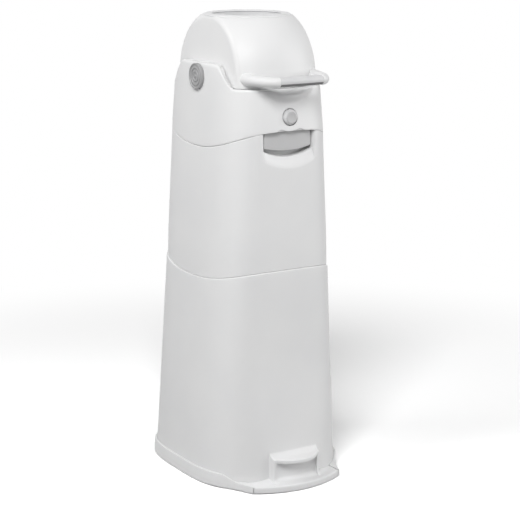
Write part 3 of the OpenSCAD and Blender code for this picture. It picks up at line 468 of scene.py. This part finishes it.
def footLedge():
    # one upright slice at each place across: a top that leaves the body's wall in a fillet, a thin
    # rounded lip, and under it the panel between two cheeks. The lip is an arc between the cheeks'
    # corners, and beyond them the slices shrink back to the wall as a cube.
    form = ledgeForm
    half, front, mid, top, foot, corner, cove = pick(form, "half front mid top foot corner cove")
    lipHalf, lipEdge, fillet = pick(form, "lipHalf lipEdge fillet")
    x = ledgeColumns()
    away, bow = np.abs(x), mid - front
    radius = (lipHalf ** 2 + bow ** 2) / (2 * bow)
    lip = np.sqrt(np.maximum(radius ** 2 - x ** 2, 0)) - radius + mid
    wall = -frontY(x, top) - form["sink"]
    past = np.clip((away - half + corner) / corner, 0, 1)
    flank = np.clip((away - half) / form["flare"], 0, 1)
    cheek = wall + (front - corner * (1 - np.sqrt(1 - past ** 2)) - wall) * (1 - flank) ** 3
    edge = np.where(away < lipHalf, np.maximum(lip, cheek), cheek)
    under = np.where(away < form["recessHalf"], form["panel"], cheek)
    nose = np.minimum(form["nose"], (edge - wall) / 2)
    topD = wall + (edge - nose - wall) * np.linspace(0, 1, 30)[:, None] ** 1.4
    short = np.clip(1 - (topD - wall) / fillet, 0, 1)
    topZ = top + fillet * (1 - np.sqrt(1 - short ** 2))
    turn = np.linspace(np.pi / 2, 0, 6)[1:, None]
    noseD = edge - nose * (1 - np.cos(turn))
    noseZ = topZ[-1] - nose * (1 - np.sin(turn))
    low = top - form["thick"]
    lipD = np.stack([edge, np.maximum(edge - lipEdge, under), under])
    lipZ = np.array([[low + lipEdge], [low], [low]]) + 0 * x
    panelZ = low + (foot - low) * np.linspace(0, 1, 13)[:, None] ** 0.7 + 0 * x
    out = np.clip((foot + cove - panelZ) / cove, 0, 1) ** 2 * cove * form["coveShare"]
    panelD = under + out * (1 - flank)
    footD = wall + (panelD[-1] - wall) * np.linspace(1, 0, 8)[1:, None]
    d = np.vstack([topD, noseD, lipD, panelD, footD])
    z = np.vstack([topZ, noseZ, lipZ, panelZ, 0 * footD + foot])
    return closeSides(np.stack([x + 0 * d, -d, z], -1))


makePiece("footLedge", [(footLedge(), True, False)], "root", whiteShell)

footForm = {"x": 80 * mm, "front": -88 * mm, "back": 105 * mm, "radius": 10 * mm, "edge": 1.6 * mm,
            "high": 4.98 * mm, "plug": 5 * mm, "plugHigh": 7.8 * mm}


def rubberFeet():
    # a turned foot with a round lower edge and a plug, once near each corner of the base
    form = footForm
    radius, edge, high, plug, plugHigh = pick(form, "radius edge high plug plugHigh")
    profile = rowTable([[0, 0]], cornerArc((0, radius - edge), (0, radius), (edge, radius)),
                       [[high, radius], [high, plug], [plugHigh, plug], [plugHigh, 0]])
    spots = [(x, y, 0) for y in (form["front"], form["back"]) for x in (-form["x"], form["x"])]
    return [(lathe(profile, "z", spot, 48), False, True) for spot in spots]


makePiece("rubberFeet", rubberFeet(), "root", darkRubber)
print("base made")


# lower and upper body

lowerForm = {"foot": 8.3 * mm, "top": 311 * mm, "rise": 21 * mm, "edge": 1.4 * mm, "footEdge": 0.6 * mm,
             "notchTop": 12.1 * mm}


def lowerBody():
    # wall rows go up the outside, over the round top edge and down the inside. The rise grows over
    # the upper half only. The foot is cut up a little over the foot plate.
    form, wall, notch = lowerForm, bodyForm["wall"], baseForm["notchHalf"]
    foot, top, edge = pick(form, "foot top edge")
    up = np.linspace(foot + 1 * mm, top - edge, 46)
    down = up[::-3]
    profile = rowTable([[foot, wall], [foot, form["footEdge"]]], np.column_stack([up, 0 * up]),
                       cornerArc((top - edge, 0), (top, 0), (top, edge)), [[top, wall]],
                       np.column_stack([down, 0 * down + wall]))
    share = np.clip((profile[:, 0] - top / 2) / (top / 2), 0, 1)
    rows = np.column_stack([profile[:, 0], form["rise"] * share, 0 * share, profile[:, 1]])
    points = wallPoints(evenAngles(2.2 * mm, (-notch, notch), 2 * mm, 0.5 * mm), rows)
    inNotch = (np.abs(points[..., 0]) < notch) & (points[..., 1] < 0)
    points[..., 2] = np.where(inNotch, np.maximum(points[..., 2], form["notchTop"]), points[..., 2])
    return points


makePiece("lowerBody", [(lowerBody(), True, True)], "root", whiteShell)

upperForm = {"low": 311 * mm, "skirt": 14 * mm, "skirtIn": 3.4 * mm, "skirtWall": 2.4 * mm, "step": 1.6 * mm,
             "stepEdge": 0.9 * mm, "blend": 40 * mm, "top": 506.8 * mm, "edge": 1.3 * mm, "bevel": 0.4 * mm,
             "lowRise": 21 * mm, "topRise": 30 * mm, "seat": 480 * mm, "seatWidth": 8 * mm,
             "seatThick": 4 * mm, "seatFoot": 12 * mm}
pocketForm = {"half": 41.6 * mm, "jamb": 8 * mm, "back": -105.6 * mm, "lipY": -117.5 * mm, "lipZ": 499 * mm,
              "scoop": 17 * mm, "scoopPower": 1.6, "lipEdge": 1.2 * mm, "bow": 12 * mm, "bowHalf": 46 * mm,
              "bowFrom": 48 * mm, "fadeLow": 30 * mm, "bowTo": 37 * mm, "fadeHigh": 28 * mm,
              "from": 430 * mm, "side": 14 * mm, "insideAt": 12 * mm, "insideFade": 8 * mm}


def pocketBow(x, row):
    # how far a wall row is lifted: as the square of the width, fully between the scoop's foot and the
    # tab's lower edge, and fading to nothing below and above
    form = pocketForm
    over, half = row - form["lipZ"], form["bowHalf"]
    near = smoothStep((over + form["bowFrom"]) / form["fadeLow"])
    near = near * smoothStep((form["bowTo"] - over) / form["fadeHigh"])
    return near * form["bow"] * (np.minimum(np.abs(x), half) / half) ** 2


def pocketY(x, row, wallY):
    # depth of the pocket at a width and an unbowed row: the wall slopes in over the scoop to the lip,
    # drops to the back wall just above the lip, and all of it fades out round the jambs
    half, jamb, back, lipY, lipZ, scoop = pick(pocketForm, "half jamb back lipY lipZ scoop")
    slope = np.clip((row - lipZ + scoop) / scoop, 0, 1)
    scoopY = wallY + (lipY - wallY) * slope ** pocketForm["scoopPower"]
    deepY = scoopY + (back - scoopY) * smoothStep((row - lipZ) / pocketForm["lipEdge"])
    share = np.clip((np.abs(x) - half) / jamb, 0, 1)
    rounding = 1 - np.sqrt(1 - (1 - share) ** 2)
    return np.where(np.abs(x) <= half, deepY, wallY + np.minimum(deepY - wallY, jamb) * rounding)


def upperProfile():
    # from the skirt's foot up the outside, over the round top edge, and down the inside past the seat
    # of the bag ring to the skirt again. Rows stand close together at the pocket's lip and scoop.
    form, wall = upperForm, bodyForm["wall"]
    low, top, edge, step, bevel, seat = pick(form, "low top edge step bevel seat")
    start, corner, blend = low + bodyForm["seatGap"], step + form["stepEdge"], low + form["blend"]
    tilt = 1 + (form["topRise"] - form["lowRise"]) / (top - low)
    lipRow = low + (pocketForm["lipZ"] - low - form["lowRise"]) / tilt
    lipSpots = (lipRow, lipRow + 0.6 * mm, lipRow + 1.2 * mm)
    up = fineValues(start + 2 * mm, top - edge, 5 * mm, lipSpots, 1.6 * mm, 0.2 * mm)
    up = np.union1d(up, np.linspace(lipRow - 21 * mm, lipRow - 1.5 * mm, 20))
    inset = np.interp(up, [start, blend, top], [step, 0.6 * mm, 0])
    down = np.linspace(top - 2 * mm, seat + 1 * mm, 16)
    skirtFoot, skirtIn, seatIn = low - form["skirt"], form["skirtIn"], wall + form["seatWidth"]
    skirtBack = skirtIn + form["skirtWall"]
    return rowTable(
        [[skirtFoot, skirtIn], [start - 0.2 * mm, skirtIn], [start, corner]],
        cornerArc((start, corner), (start, step), (start + form["stepEdge"], step)),
        np.column_stack([up, inset]), cornerArc((top - edge, 0), (top, 0), (top, edge)),
        [[top, wall - bevel], [top - bevel, wall]], np.column_stack([down, 0 * down + wall]),
        [[seat, wall], [seat, seatIn], [seat - form["seatThick"], seatIn], [seat - form["seatFoot"], wall],
         [blend, wall + 1 * mm], [low, skirtBack], [skirtFoot, skirtBack]])


def upperBody():
    # the profile's rows go round the body, higher towards the pivot the higher they are; inside they
    # come back to level at the seat. The outside's front is then pushed back to the finger pocket,
    # and the inside's front to a wall's thickness behind the pocket's back.
    form, wall, pocket = upperForm, bodyForm["wall"], pocketForm
    low, top, seat, lowRise, topRise = pick(form, "low top seat lowRise topRise")
    half = pocket["half"]
    height, inset = upperProfile().T
    inside = np.arange(len(height)) > np.argmax(height >= top - tiny)
    rise = lowRise + (topRise - lowRise) * np.clip((height - low) / (top - low), 0, 1)
    flat = inside & (height < top) & (height > low + form["blend"])
    rise = np.where(flat, topRise * np.clip((height - seat) / (top - seat), 0, 1), rise)
    spots = (-half, half, -half - 2 * mm, half + 2 * mm)
    angles = evenAngles(2.4 * mm, spots, 2.5 * mm, 0.3 * mm, 1.5 * mm)
    points = wallPoints(angles, np.column_stack([height, rise, 0 * rise, inset]))
    x, y, z = np.moveaxis(points, -1, 0)
    near = (y < 0) & (np.abs(x) < half + pocket["side"]) & (height > pocket["from"])[:, None]
    outer, hidden = near & ~inside[:, None], near & inside[:, None]
    push = np.maximum(pocket["back"] + wall - y, 0)
    push = push * smoothStep((half + pocket["insideAt"] - np.abs(x)) / pocket["insideFade"])
    newY = np.where(outer, pocketY(x, z, y), y + hidden * push)
    return np.stack([x, newY, z + outer * pocketBow(x, z)], -1)


makePiece("upperBody", [(upperBody(), True, True)], "root", whiteShell)
print("body made")


# head

headForm = {"low": 507.2 * mm, "rim": 598 * mm, "rise": 30 * mm, "ears": 32 * mm, "edge": 3.2 * mm,
            "chinHalf": 40 * mm, "chinLow": 577 * mm, "chinBow": 13 * mm, "chinDown": 12 * mm,
            "chinOut": 11.5 * mm, "chinBack": 0.5, "swing": 111 * mm, "rimGap": 0.15 * mm,
            "flatAt": 68.7 * mm}
wellForm = {"z": 557.5 * mm, "radius": 12.4 * mm, "wall": 0.5 * mm, "deep": 6 * mm, "calm": 15 * mm,
            "fade": 26 * mm, "reach": 20 * mm, "backReach": 22 * mm, "frontHalf": 66 * mm}


def headRows(profile):
    # profile is (height, inset); the rise falls and the ears grow with the share of the head's height
    height, inset = profile.T
    share = (height - headForm["low"]) / (headForm["rim"] - headForm["low"])
    return np.column_stack([height, headForm["rise"] * (1 - share), headForm["ears"] * share, inset])


def chinOut(x, height):
    # how far the chin stands out: a bell across the width, times a smooth step up from the chin's
    # lower line, which bows up to the sides, times a gentle return towards the rim
    low, bow, half, down, out, share = pick(headForm, "chinLow chinBow chinHalf chinDown chinOut chinBack")
    over = height - low - bow * (x / half) ** 2
    back = 1 - share * smoothStep((over - down) / (headForm["rim"] - low - down))
    return out * np.exp(-((x / half) ** 2)) * smoothStep(over / down) * back


def pulledIn(points, extra=0.0):
    # the opening: each point slides inwards along its radius to the drum's ball plus a gap, or to
    # just outside the drum's flat sides, whichever is nearer
    x, y, z = np.moveaxis(points, -1, 0)
    radius = np.hypot(x, y)
    ball = np.sqrt(headForm["swing"] ** 2 - (z - pivotZ) ** 2) + headForm["rimGap"] + extra
    flat = (headForm["flatAt"] + extra) * radius / np.maximum(np.abs(x), 1 * mm)
    share = np.minimum(np.minimum(ball, flat) / radius, 1)
    return np.stack([x * share, y * share, z], -1)


def headOutside(angles, profile):
    # the outside wall. Near the button the grid's squares are turned to circles, and inside the
    # smallest circle the wall steps back to a round well.
    middle, radius, wall, calm, fade = pick(wellForm, "z radius wall calm fade")
    x, y, h = np.moveaxis(wallPoints(angles, headRows(profile)), -1, 0)
    front = (y < 0) & (np.abs(x) < wellForm["frontHalf"])
    dz = h - middle
    near = smoothStep((fade - np.maximum(np.abs(x), np.abs(dz))) / (fade - calm)) * front
    x = x * (1 + near * (bodyAt("widthAt", middle) / bodyAt("widthAt", h) - 1))
    square = np.maximum(np.abs(x), np.abs(dz))
    turn = 1 + near * (square / np.maximum(np.hypot(x, dz), 0.001 * mm) - 1)
    x, h = x * turn, middle + dz * turn
    away = np.hypot(x, h - middle)
    well = wellForm["deep"] * smoothStep((radius + wall - away) / wall) * (away < wellForm["reach"])
    frontWall = frontY(x, h) + profile[:, 1][:, None] - chinOut(x, h) + well
    return np.stack([x, np.where(front, frontWall, y), h], -1)


def headShell():
    # rows go up the outside, over the round rim, down into the drum's opening and back inside
    low, rim, edge, rise = pick(headForm, "low rim edge rise")
    wall = bodyForm["wall"]
    scale = (rim - low) / (rim - low - rise)  # a step between rows over that step at the front
    clear = wellForm["radius"] + 0.25 * mm
    spots = [low + (wellForm["z"] + s * clear - low - rise) * scale for s in (-1, 1)]
    up = fineValues(low + 1 * mm, rim - edge, 2.6 * mm, spots, 1.6 * mm, 0.22 * mm)
    outer = rowTable(cornerArc((low, 1 * mm), (low, 0), (low + 1 * mm, 0), 3), np.column_stack([up, 0 * up]),
                     cornerArc((rim - edge, 0), (rim, 0), (rim, edge), 7))
    angles = evenAngles(2.2 * mm, (-clear, clear), 1.2 * mm, 0.22 * mm, 1.5 * mm)
    outside = headOutside(angles, outer)
    rimRow = wallPoints(angles, headRows(np.array([[rim, 0.0]])))
    lip = [pulledIn(rimRow - [0, 0, drop], extra) for drop, extra in
           ((0, 1.2 * mm), (0.35 * mm, 0.35 * mm), (1.2 * mm, 0), (4.8 * mm, 0), (5.2 * mm, 0.8 * mm))]
    inner = np.array([[rim - 11 * mm, wall], [rim - 20 * mm, wall], [rim - 40 * mm, wall],
                      [low + 20 * mm, wall], [low + 0.5 * mm, wall], [low, wall - 0.5 * mm]])
    inside = wallPoints(angles, headRows(inner))
    aroundWell = np.hypot(inside[..., 0], inside[..., 2] - wellForm["z"]) < wellForm["backReach"]
    inside[..., 1] += wellForm["deep"] * (aroundWell & (inside[..., 1] < 0))
    return np.concatenate([outside, *lip, inside])


makePiece("headShell", [(headShell(), True, True)], "head", whiteShell)

tabForm = {"half": 40.2 * mm, "front": -118.0 * mm, "bulge": 1.8 * mm, "thick": 2.5 * mm, "low": 508 * mm,
           "bow": 5 * mm, "high": 538.5 * mm, "sideEdge": 1.3 * mm}


def liftTab():
    # a thin plate bowed forward in plan: a loop down its front, round the lower edge and up its back,
    # carried from side to side and thinned to round side edges. Its lower edge bows down in the
    # middle as the square of the width.
    form = tabForm
    half, r = form["half"], form["thick"] / 2
    x = fineValues(-half, half, 1.5 * mm, (-half, half), 2 * mm, 0.3 * mm)
    low = form["low"] + form["bow"] * (x / half) ** 2 + r
    side = np.sqrt(1 - np.clip((np.abs(x) - half + form["sideEdge"]) / form["sideEdge"], 0, 1) ** 2)
    middle = form["front"] + form["bulge"] * (x / half) ** 2 + r
    turn = np.linspace(0, np.pi, 9)[:, None]
    climb = np.concatenate([[1], np.linspace(0.85, 0.1, 5)])[:, None]
    y = middle + r * side * np.vstack([0 * climb - 1, -np.cos(turn), 0 * climb + 1])
    rise = (form["high"] - low) * climb
    z = low + np.vstack([rise, 0 * x - r * np.sin(turn), rise[::-1]])
    return np.stack([x + 0 * y, y, z], -1)


makePiece("liftTab", [(liftTab(), True, False)], "head", greyTab)

buttonForm = {"z": 557.5 * mm, "wallY": -123 * mm, "out": 5 * mm, "face": 8.7 * mm, "foot": 11.6 * mm,
              "dish": 0.7 * mm, "dishShare": 0.8, "flange": 14 * mm, "flangeY": -117.8 * mm,
              "flangeThick": 1.4 * mm, "stem": 4 * mm, "stemEnd": -109.7 * mm}


def pushButton():
    # a turned shape about the line of travel: dished face, round edge, sloping side, hidden flange
    form = buttonForm
    wallY, face, foot, flangeY, stem = pick(form, "wallY face foot flangeY stem")
    faceY, flangeEnd = wallY - form["out"], flangeY + form["flangeThick"]
    share = np.array([0, 0.25, 0.5, 0.65, form["dishShare"]])
    dish = np.column_stack([faceY + form["dish"] * (1 - (share / form["dishShare"]) ** 2), face * share])
    edge = cornerArc((faceY, face - 1 * mm), (faceY, face), (faceY + 1 * mm, face + 0.4 * mm), 5)
    profile = rowTable(dish, edge, [
        [wallY - 1.2 * mm, foot - 0.1 * mm], [wallY + 0.6 * mm, foot], [flangeY, foot],
        [flangeY, form["flange"]], [flangeEnd, form["flange"]], [flangeEnd, stem],
        [form["stemEnd"], stem], [form["stemEnd"], 0]])
    return lathe(profile, "y", (0, 0, form["z"]))


button = makePiece("pushButton", [(pushButton(), False, True)], "button", [greyTab, greySide])
# painted light: the faces outside the button face's radius get the lighter grey, standing in for the light
# on the side wall
secondFinish(button, lambda x, y, z: np.hypot(x, z - buttonForm["z"]) > buttonForm["face"] + 0.2 * mm)
print("head made")


# drum

drumForm = {"radius": 110.5 * mm, "half": 67.8 * mm, "taper": 2.4 * mm, "top": 87.2 * mm, "edge": 11 * mm,
            "wall": 2.5 * mm, "split": -12 * mm, "splitGap": 0.25 * mm, "tube": 57.3 * mm, "lip": 0.9 * mm}


def ballReach(x, shrink, flat):
    # how far the ball reaches from the pivot line at a distance x along it: the ball's root, or the
    # soft edge's own circle near the flat side
    radius, edge = (value - shrink for value in pick(drumForm, "radius edge"))
    half = flat - shrink
    edgeX = half - edge
    edgeD = np.sqrt((radius - edge) ** 2 - edgeX ** 2)
    joinX = edgeX * radius / (radius - edge)
    ball = np.sqrt(np.maximum(radius ** 2 - x ** 2, 0))
    soft = edgeD + np.sqrt(np.maximum(edge ** 2 - np.maximum(np.abs(x) - edgeX, 0) ** 2, 0))
    return np.where(np.abs(x) < joinX, ball, soft)


def drumRing(height, shrink):
    # the drum's outline at a height over the pivot line: over the front from one flat side to the
    # other, along that side, over the back, and along the other side
    flat = drumForm["half"] - drumForm["taper"] * (height / drumForm["top"]) ** 2
    dense = np.linspace(0, flat - shrink, samples["drum"])
    widest = dense[ballReach(dense, shrink, flat) >= abs(height) - tiny].max()
    x = widest * np.sin(np.linspace(-1, 1, 97) * np.pi / 2)
    y = np.sqrt(np.maximum(ballReach(x, shrink, flat) ** 2 - height ** 2, 0))
    sideY = np.linspace(1, -1, 26)[1:-1] * y[-1]
    sideX = np.full(len(sideY), widest)
    ring = np.concatenate([np.stack(pair, -1) for pair in
                           ((x, -y), (sideX, -sideY), (x[::-1], y[::-1]), (-sideX, sideY))])
    return np.column_stack([ring, np.full(len(ring), height)])


def drumShell(low, high):
    # rings from the low cut up to the high cut outside, in over the upper face to the tube, and down
    # again inside; the lower shell has its tube's face below. A small round edge softens each cut.
    lip, wall = drumForm["lip"], drumForm["wall"]
    edge = [(lip * (1 - np.cos(t)), lip * (1 - np.sin(t))) for t in np.linspace(0, np.pi / 2, 5)[:-1]]
    rings = [drumRing(low + off, shrink) for off, shrink in edge]
    rings += [drumRing(z, 0) for z in np.linspace(low + lip, high - lip, 46)]
    rings += [drumRing(high - off, shrink) for off, shrink in edge[::-1]]
    upper = abs(high) > abs(low)
    tubeFace, last = (high, rings[-1]) if upper else (low, rings[0])
    inner = [drumRing(z, wall) for z in np.linspace(high, low, 20) if abs(z) < drumForm["top"] - wall]
    away = np.hypot(last[:, 0], last[:, 1])[:, None]
    tubeRing = np.column_stack([last[:, :2] / away * drumForm["tube"], np.full(len(last), tubeFace)])
    tubeInner = tubeRing - [0, 0, np.sign(tubeFace) * wall]
    loop = [*rings, tubeRing, tubeInner, *inner] if upper else [tubeRing, *rings, *inner, tubeInner]
    return np.stack(loop) + [0, 0, pivotZ]


drumTop, split, splitGap = pick(drumForm, "top split splitGap")
for end, span in (("Upper", (split + splitGap, drumTop)), ("Lower", (-drumTop, split - splitGap))):
    makePiece(f"drum{end}Shell", [(drumShell(*span), True, True)], "drum", whiteShell)

ringForm = {"outer": 65.5 * mm, "bore": 51.5 * mm, "foot": 87.25 * mm, "crest": 2.8 * mm, "collar": 9 * mm,
            "sleeve": 54.4 * mm, "grooveUp": 2.0 * mm, "grooveLow": 3.0 * mm, "grooveDeep": 1.8 * mm,
            "outerRound": 8 * mm, "innerRound": 3 * mm}


def ringTrim(side):
    # a turned bead: up the outside, over a round crest, down the bore past a fine groove, and up
    # behind the collar
    form = ringForm
    foot, outer, bore, sleeve = pick(form, "foot outer bore sleeve")
    crest, collar = foot + form["crest"], foot - form["collar"]
    bead = cornerArc((foot + 0.5 * mm, outer), (crest, outer), (crest, outer - form["outerRound"]), 9)
    inner = cornerArc((crest, bore + form["innerRound"]), (crest, bore), (crest - 1.6 * mm, bore), 6)
    up, low, deep = crest - form["grooveUp"], crest - form["grooveLow"], bore + form["grooveDeep"]
    groove = [[up, bore], [up - 0.1 * mm, deep], [low + 0.1 * mm, deep], [low, bore]]
    behind = [[collar, bore], [collar, sleeve], [foot, sleeve]]
    profile = rowTable([[foot, outer]], bead, inner, groove, behind)
    return lathe(profile * [side, 1], "z", (0, 0, pivotZ), 160)


for end, side in (("Top", 1), ("Bottom", -1)):
    makePiece(f"ringTrim{end}", [(ringTrim(side), True, True)], "drum", greyRing)

knobForm = {"inner": 83.6 * mm, "outer": 89.1 * mm, "radius": 19.5 * mm, "bore": 9.05 * mm,
            "boreDeep": 3.4 * mm, "dish": 1.3 * mm, "rim": 2.2 * mm, "ringAt": (7.0 * mm, 12.6 * mm),
            "ringHalf": 1.5 * mm, "ringHigh": 1.1 * mm, "hub": 2.4 * mm}


def sideKnob(side):
    # a turned cap: round outer edge, a ring-shaped dish, and in it two raised rings round a small hub
    form = knobForm
    back, face, radius, hub = pick(form, "inner outer radius hub")
    low, boreEnd, rim = face - form["dish"], back + form["boreDeep"], radius - form["rim"]
    turn = np.linspace(np.pi, 0, 9)
    high, wide = form["ringHigh"] * np.sin(turn), form["ringHalf"] * np.cos(turn)
    rings = [np.column_stack([low + high, centre + wide]) for centre in form["ringAt"]]
    profile = rowTable(
        [[back, form["bore"]], [boreEnd, form["bore"]], [boreEnd, 0]],
        [[face - 0.2 * mm, 0], [face - 0.2 * mm, hub - 0.6 * mm], [low, hub]], *rings,
        [[low, rim - 0.5 * mm], [face - 0.3 * mm, rim]],
        cornerArc((face, rim + 0.4 * mm), (face, radius), (face - 1.2 * mm, radius), 5),
        [[back + 0.4 * mm, radius], [back, radius - 0.4 * mm]])
    return lathe(profile * [side, 1], "x", (0, 0, pivotZ))


for end, side in (("Left", -1), ("Right", 1)):
    makePiece(f"sideKnob{end}", [(sideKnob(side), True, True)], "drum", greyTrim)
print("drum made")


# handle

handleForm = {"startX": 54 * mm, "up": 2.5 * mm, "thick": 7.6 * mm, "flare": 2.6 * mm, "flareLength": 0.42,
              "gripHalf": 36.5 * mm, "reach": 150 * mm, "grip": 7 * mm, "gripBelly": 0.25 * mm,
              "gripGap": 0.4 * mm, "gripEdge": 0.8 * mm, "underFrom": 0.42, "tuck": 0.5 * mm,
              "tuckShare": 0.9}


def handleArm(side):
    # a circle carried along a cubic curve from the drum to the grip's end; near the drum its radius
    # grows by the square of the distance still to go
    form, around = handleForm, 40
    startX, endX, reach = form["startX"], form["gripHalf"], form["reach"]
    startY = -np.sqrt(drumForm["radius"] ** 2 - startX ** 2 - form["up"] ** 2)
    a, b, c, d = np.array([[startX, startY + 6 * mm], [startX + 8 * mm, startY - 15.6 * mm],
                           [endX + 9.5 * mm, -reach], [endX, -reach]])
    t = np.linspace(0, 1, 41)[:, None]
    s = 1 - t
    path = s ** 3 * a + 3 * t * s ** 2 * b + 3 * t * t * s * c + t ** 3 * d
    lean = 3 * s ** 2 * (b - a) + 6 * t * s * (c - b) + 3 * t * t * (d - c)
    lean /= np.linalg.norm(lean, axis=1, keepdims=True)
    radius = form["thick"] + form["flare"] * np.clip(1 - t / form["flareLength"], 0, 1) ** 2
    angle = np.linspace(0, 2 * np.pi, around, endpoint=False)
    x = path[:, :1] + radius * np.cos(angle) * lean[:, 1:]
    y = path[:, 1:] - radius * np.cos(angle) * lean[:, :1]
    z = radius * np.sin(angle) + 0 * x
    tube = np.stack([x * side, y, z + pivotZ + form["up"]], -1)
    first, last = (ring.mean(1, keepdims=True) for ring in (tube[:1], tube[-1:]))
    tucked = last - [form["tuck"] * side, 0, 0]
    rounded = tucked + (tube[-1:] - last) * form["tuckShare"]
    return np.concatenate([np.repeat(first, around, 1), tube, rounded, np.repeat(tucked, around, 1)])


def handleGrip():
    # a turned sleeve with rounded ends, a hair fuller in its middle, between the two arms
    form = handleForm
    half, endRadius = form["gripHalf"] - form["gripGap"], form["grip"] - form["gripEdge"]
    x = np.linspace(form["gripEdge"] - half, half - form["gripEdge"], 25)
    body = np.column_stack([x, form["grip"] + form["gripBelly"] * (1 - (x / half) ** 2)])
    profile = rowTable([[-half, 0], [-half, endRadius]], body, [[half, endRadius], [half, 0]])
    return lathe(profile, "x", (0, -form["reach"], pivotZ + form["up"]), 64)


makePiece("handleBow", [(handleArm(-1), False, True), (handleArm(1), False, True)], "drum", whiteShell)
grip = makePiece("handleGrip", [(handleGrip(), False, True)], "drum", [greyGrip, greyUnder])
# painted shade: the grip's faces below this line, a share of its radius under its axis, get the near-black
# grey in place of the shadow under the grip
paintedShadeLine = pivotZ + handleForm["up"] - handleForm["underFrom"] * handleForm["grip"]
secondFinish(grip, lambda x, y, z: z < paintedShadeLine)
print("handle made")


# CAD pieces that stay as they are

keptNodes = [
    (steel, "base_screws latch_keeper hinge_pin latch_pin head_screws drum_screws piston_weight "
            "button_spring"),
    (whiteShell, "hinge_body_leaf hinge_head_leaf"), (greyTrim, "bag_ring pivot_bushes"),
    (innerWhite, "button_guide chamber_tube drum_trunnions piston_cup piston_lid latch_lever"),
    (darkRubber, "drum_seal_frame"),
]
for finish, names in keptNodes:
    for node in pick(nodes, names):
        node.data.materials.clear()
        node.data.materials.append(finish)
print("kept pieces dressed")


# floor, light and camera

stageForm = {"size": 60.0, "albedo": 0.5, "seen": 1.58, "fadeFrom": 0.55, "fadeTo": 1.25}


def floorMaterial():
    # seen by the camera or in a gloss, the floor is a diffuse white near the object, exposed a little
    # over so that only the shadow keeps a tone, and plain white farther out; every other ray meets a
    # pale floor
    form = stageForm
    material, tree, shader = newMaterial("paleFloor")
    tree.nodes.remove(shader)
    place = addNode(tree, "ShaderNodeTexCoord")
    length = addNode(tree, "ShaderNodeVectorMath", operation="LENGTH")
    fade = addNode(tree, "ShaderNodeMapRange", interpolation_type="SMOOTHSTEP",
                   i_From_Min=form["fadeFrom"], i_From_Max=form["fadeTo"])
    rays = addNode(tree, "ShaderNodeLightPath")
    pale = addNode(tree, "ShaderNodeBsdfDiffuse", i_Color=(*[form["albedo"]] * 3, 1))
    bright = addNode(tree, "ShaderNodeBsdfDiffuse", i_Color=(*[form["seen"]] * 3, 1))
    white = addNode(tree, "ShaderNodeEmission", i_Strength=1.0)
    direct = addNode(tree, "ShaderNodeMath", operation="MAXIMUM")
    farMix, seenMix = (addNode(tree, "ShaderNodeMixShader") for _ in range(2))
    linkAll(tree, (place, "Object", length, 0), (length, "Value", fade, "Value"),
            (fade, "Result", farMix, 0), (bright, 0, farMix, 1), (white, 0, farMix, 2),
            (rays, "Is Camera Ray", direct, 0), (rays, "Is Glossy Ray", direct, 1),
            (direct, 0, seenMix, 0), (pale, 0, seenMix, 1), (farMix, 0, seenMix, 2),
            (seenMix, 0, tree.nodes["Material Output"], "Surface"))
    return material


floorMesh = bpy.data.meshes.new("floor")
half = stageForm["size"] / 2
corners = [(-half, -half, 0), (half, -half, 0), (half, half, 0), (-half, half, 0)]
floorMesh.from_pydata(corners, [], [(0, 1, 2, 3)])
floorMesh.materials.append(floorMaterial())
newObject("floor", floorMesh)

lightForm = {"ambient": 0.02}


def studioWorld():
    # white for what the camera sees directly, through something or in a gloss, and nearly dark for
    # every other ray, so that the lamps alone light the object
    world = bpy.data.worlds.new("studio")
    world.use_nodes = True
    tree = world.node_tree
    tree.nodes.clear()
    rays = addNode(tree, "ShaderNodeLightPath")
    seen = addNode(tree, "ShaderNodeBackground", i_Strength=1.0, i_Color=(1, 1, 1, 1))
    around = addNode(tree, "ShaderNodeBackground", i_Strength=lightForm["ambient"], i_Color=(1, 1, 1, 1))
    either, orGlossy = (addNode(tree, "ShaderNodeMath", operation="MAXIMUM") for _ in range(2))
    mix = addNode(tree, "ShaderNodeMixShader")
    output = addNode(tree, "ShaderNodeOutputWorld")
    linkAll(tree, (rays, "Is Camera Ray", either, 0), (rays, "Is Transmission Ray", either, 1),
            (either, 0, orGlossy, 0), (rays, "Is Glossy Ray", orGlossy, 1), (orGlossy, 0, mix, 0),
            (around, 0, mix, 1), (seen, 0, mix, 2), (mix, 0, output, "Surface"))
    return world


bpy.context.scene.world = studioWorld()


def softbox(name, place, aim, size, watts):
    light = bpy.data.lights.new(name, "AREA")
    light.shape, light.size, light.energy = "SQUARE", size, watts
    lamp = newObject(name, light)
    lamp.location = place
    lamp.rotation_euler = (Vector(aim) - Vector(place)).to_track_quat("-Z", "Y").to_euler()


softboxForm = {
    "keyLight": {"place": (-1.5, -1.9, 2.4), "aim": (0, 0, 0.35), "size": 1.2, "watts": 66.0},
    "fillLight": {"place": (2.2, -1.6, 1.2), "aim": (0, 0, 0.35), "size": 1.6, "watts": 37.5},
    "leftLight": {"place": (-1.5, 0.3, 1.6), "aim": (0, 0, 0.45), "size": 1.2, "watts": 16.5},
}
for lampName, form in softboxForm.items():
    softbox(lampName, **form)

cameraForm = {"place": (-1.2771, -2.1491, 0.8919), "turn": 31.18, "down": 12.84, "lens": 115.2,
              "sensor": 36.0}
turn, down = np.radians(cameraForm["turn"]), np.radians(cameraForm["down"])
cameraData = bpy.data.cameras.new("studioCamera")
cameraData.lens, cameraData.sensor_width = cameraForm["lens"], cameraForm["sensor"]
cameraData.clip_end = 100
camera = newObject("studioCamera", cameraData)
camera.location = Vector(cameraForm["place"]) + Vector((0, pivotY, 0))
sight = Vector((np.sin(turn) * np.cos(down), np.cos(turn) * np.cos(down), -np.sin(down)))
camera.rotation_euler = sight.to_track_quat("-Z", "Y").to_euler()
bpy.context.scene.camera = camera
bpy.context.scene.view_settings.view_transform = "Standard"
print("stage, light and camera set")
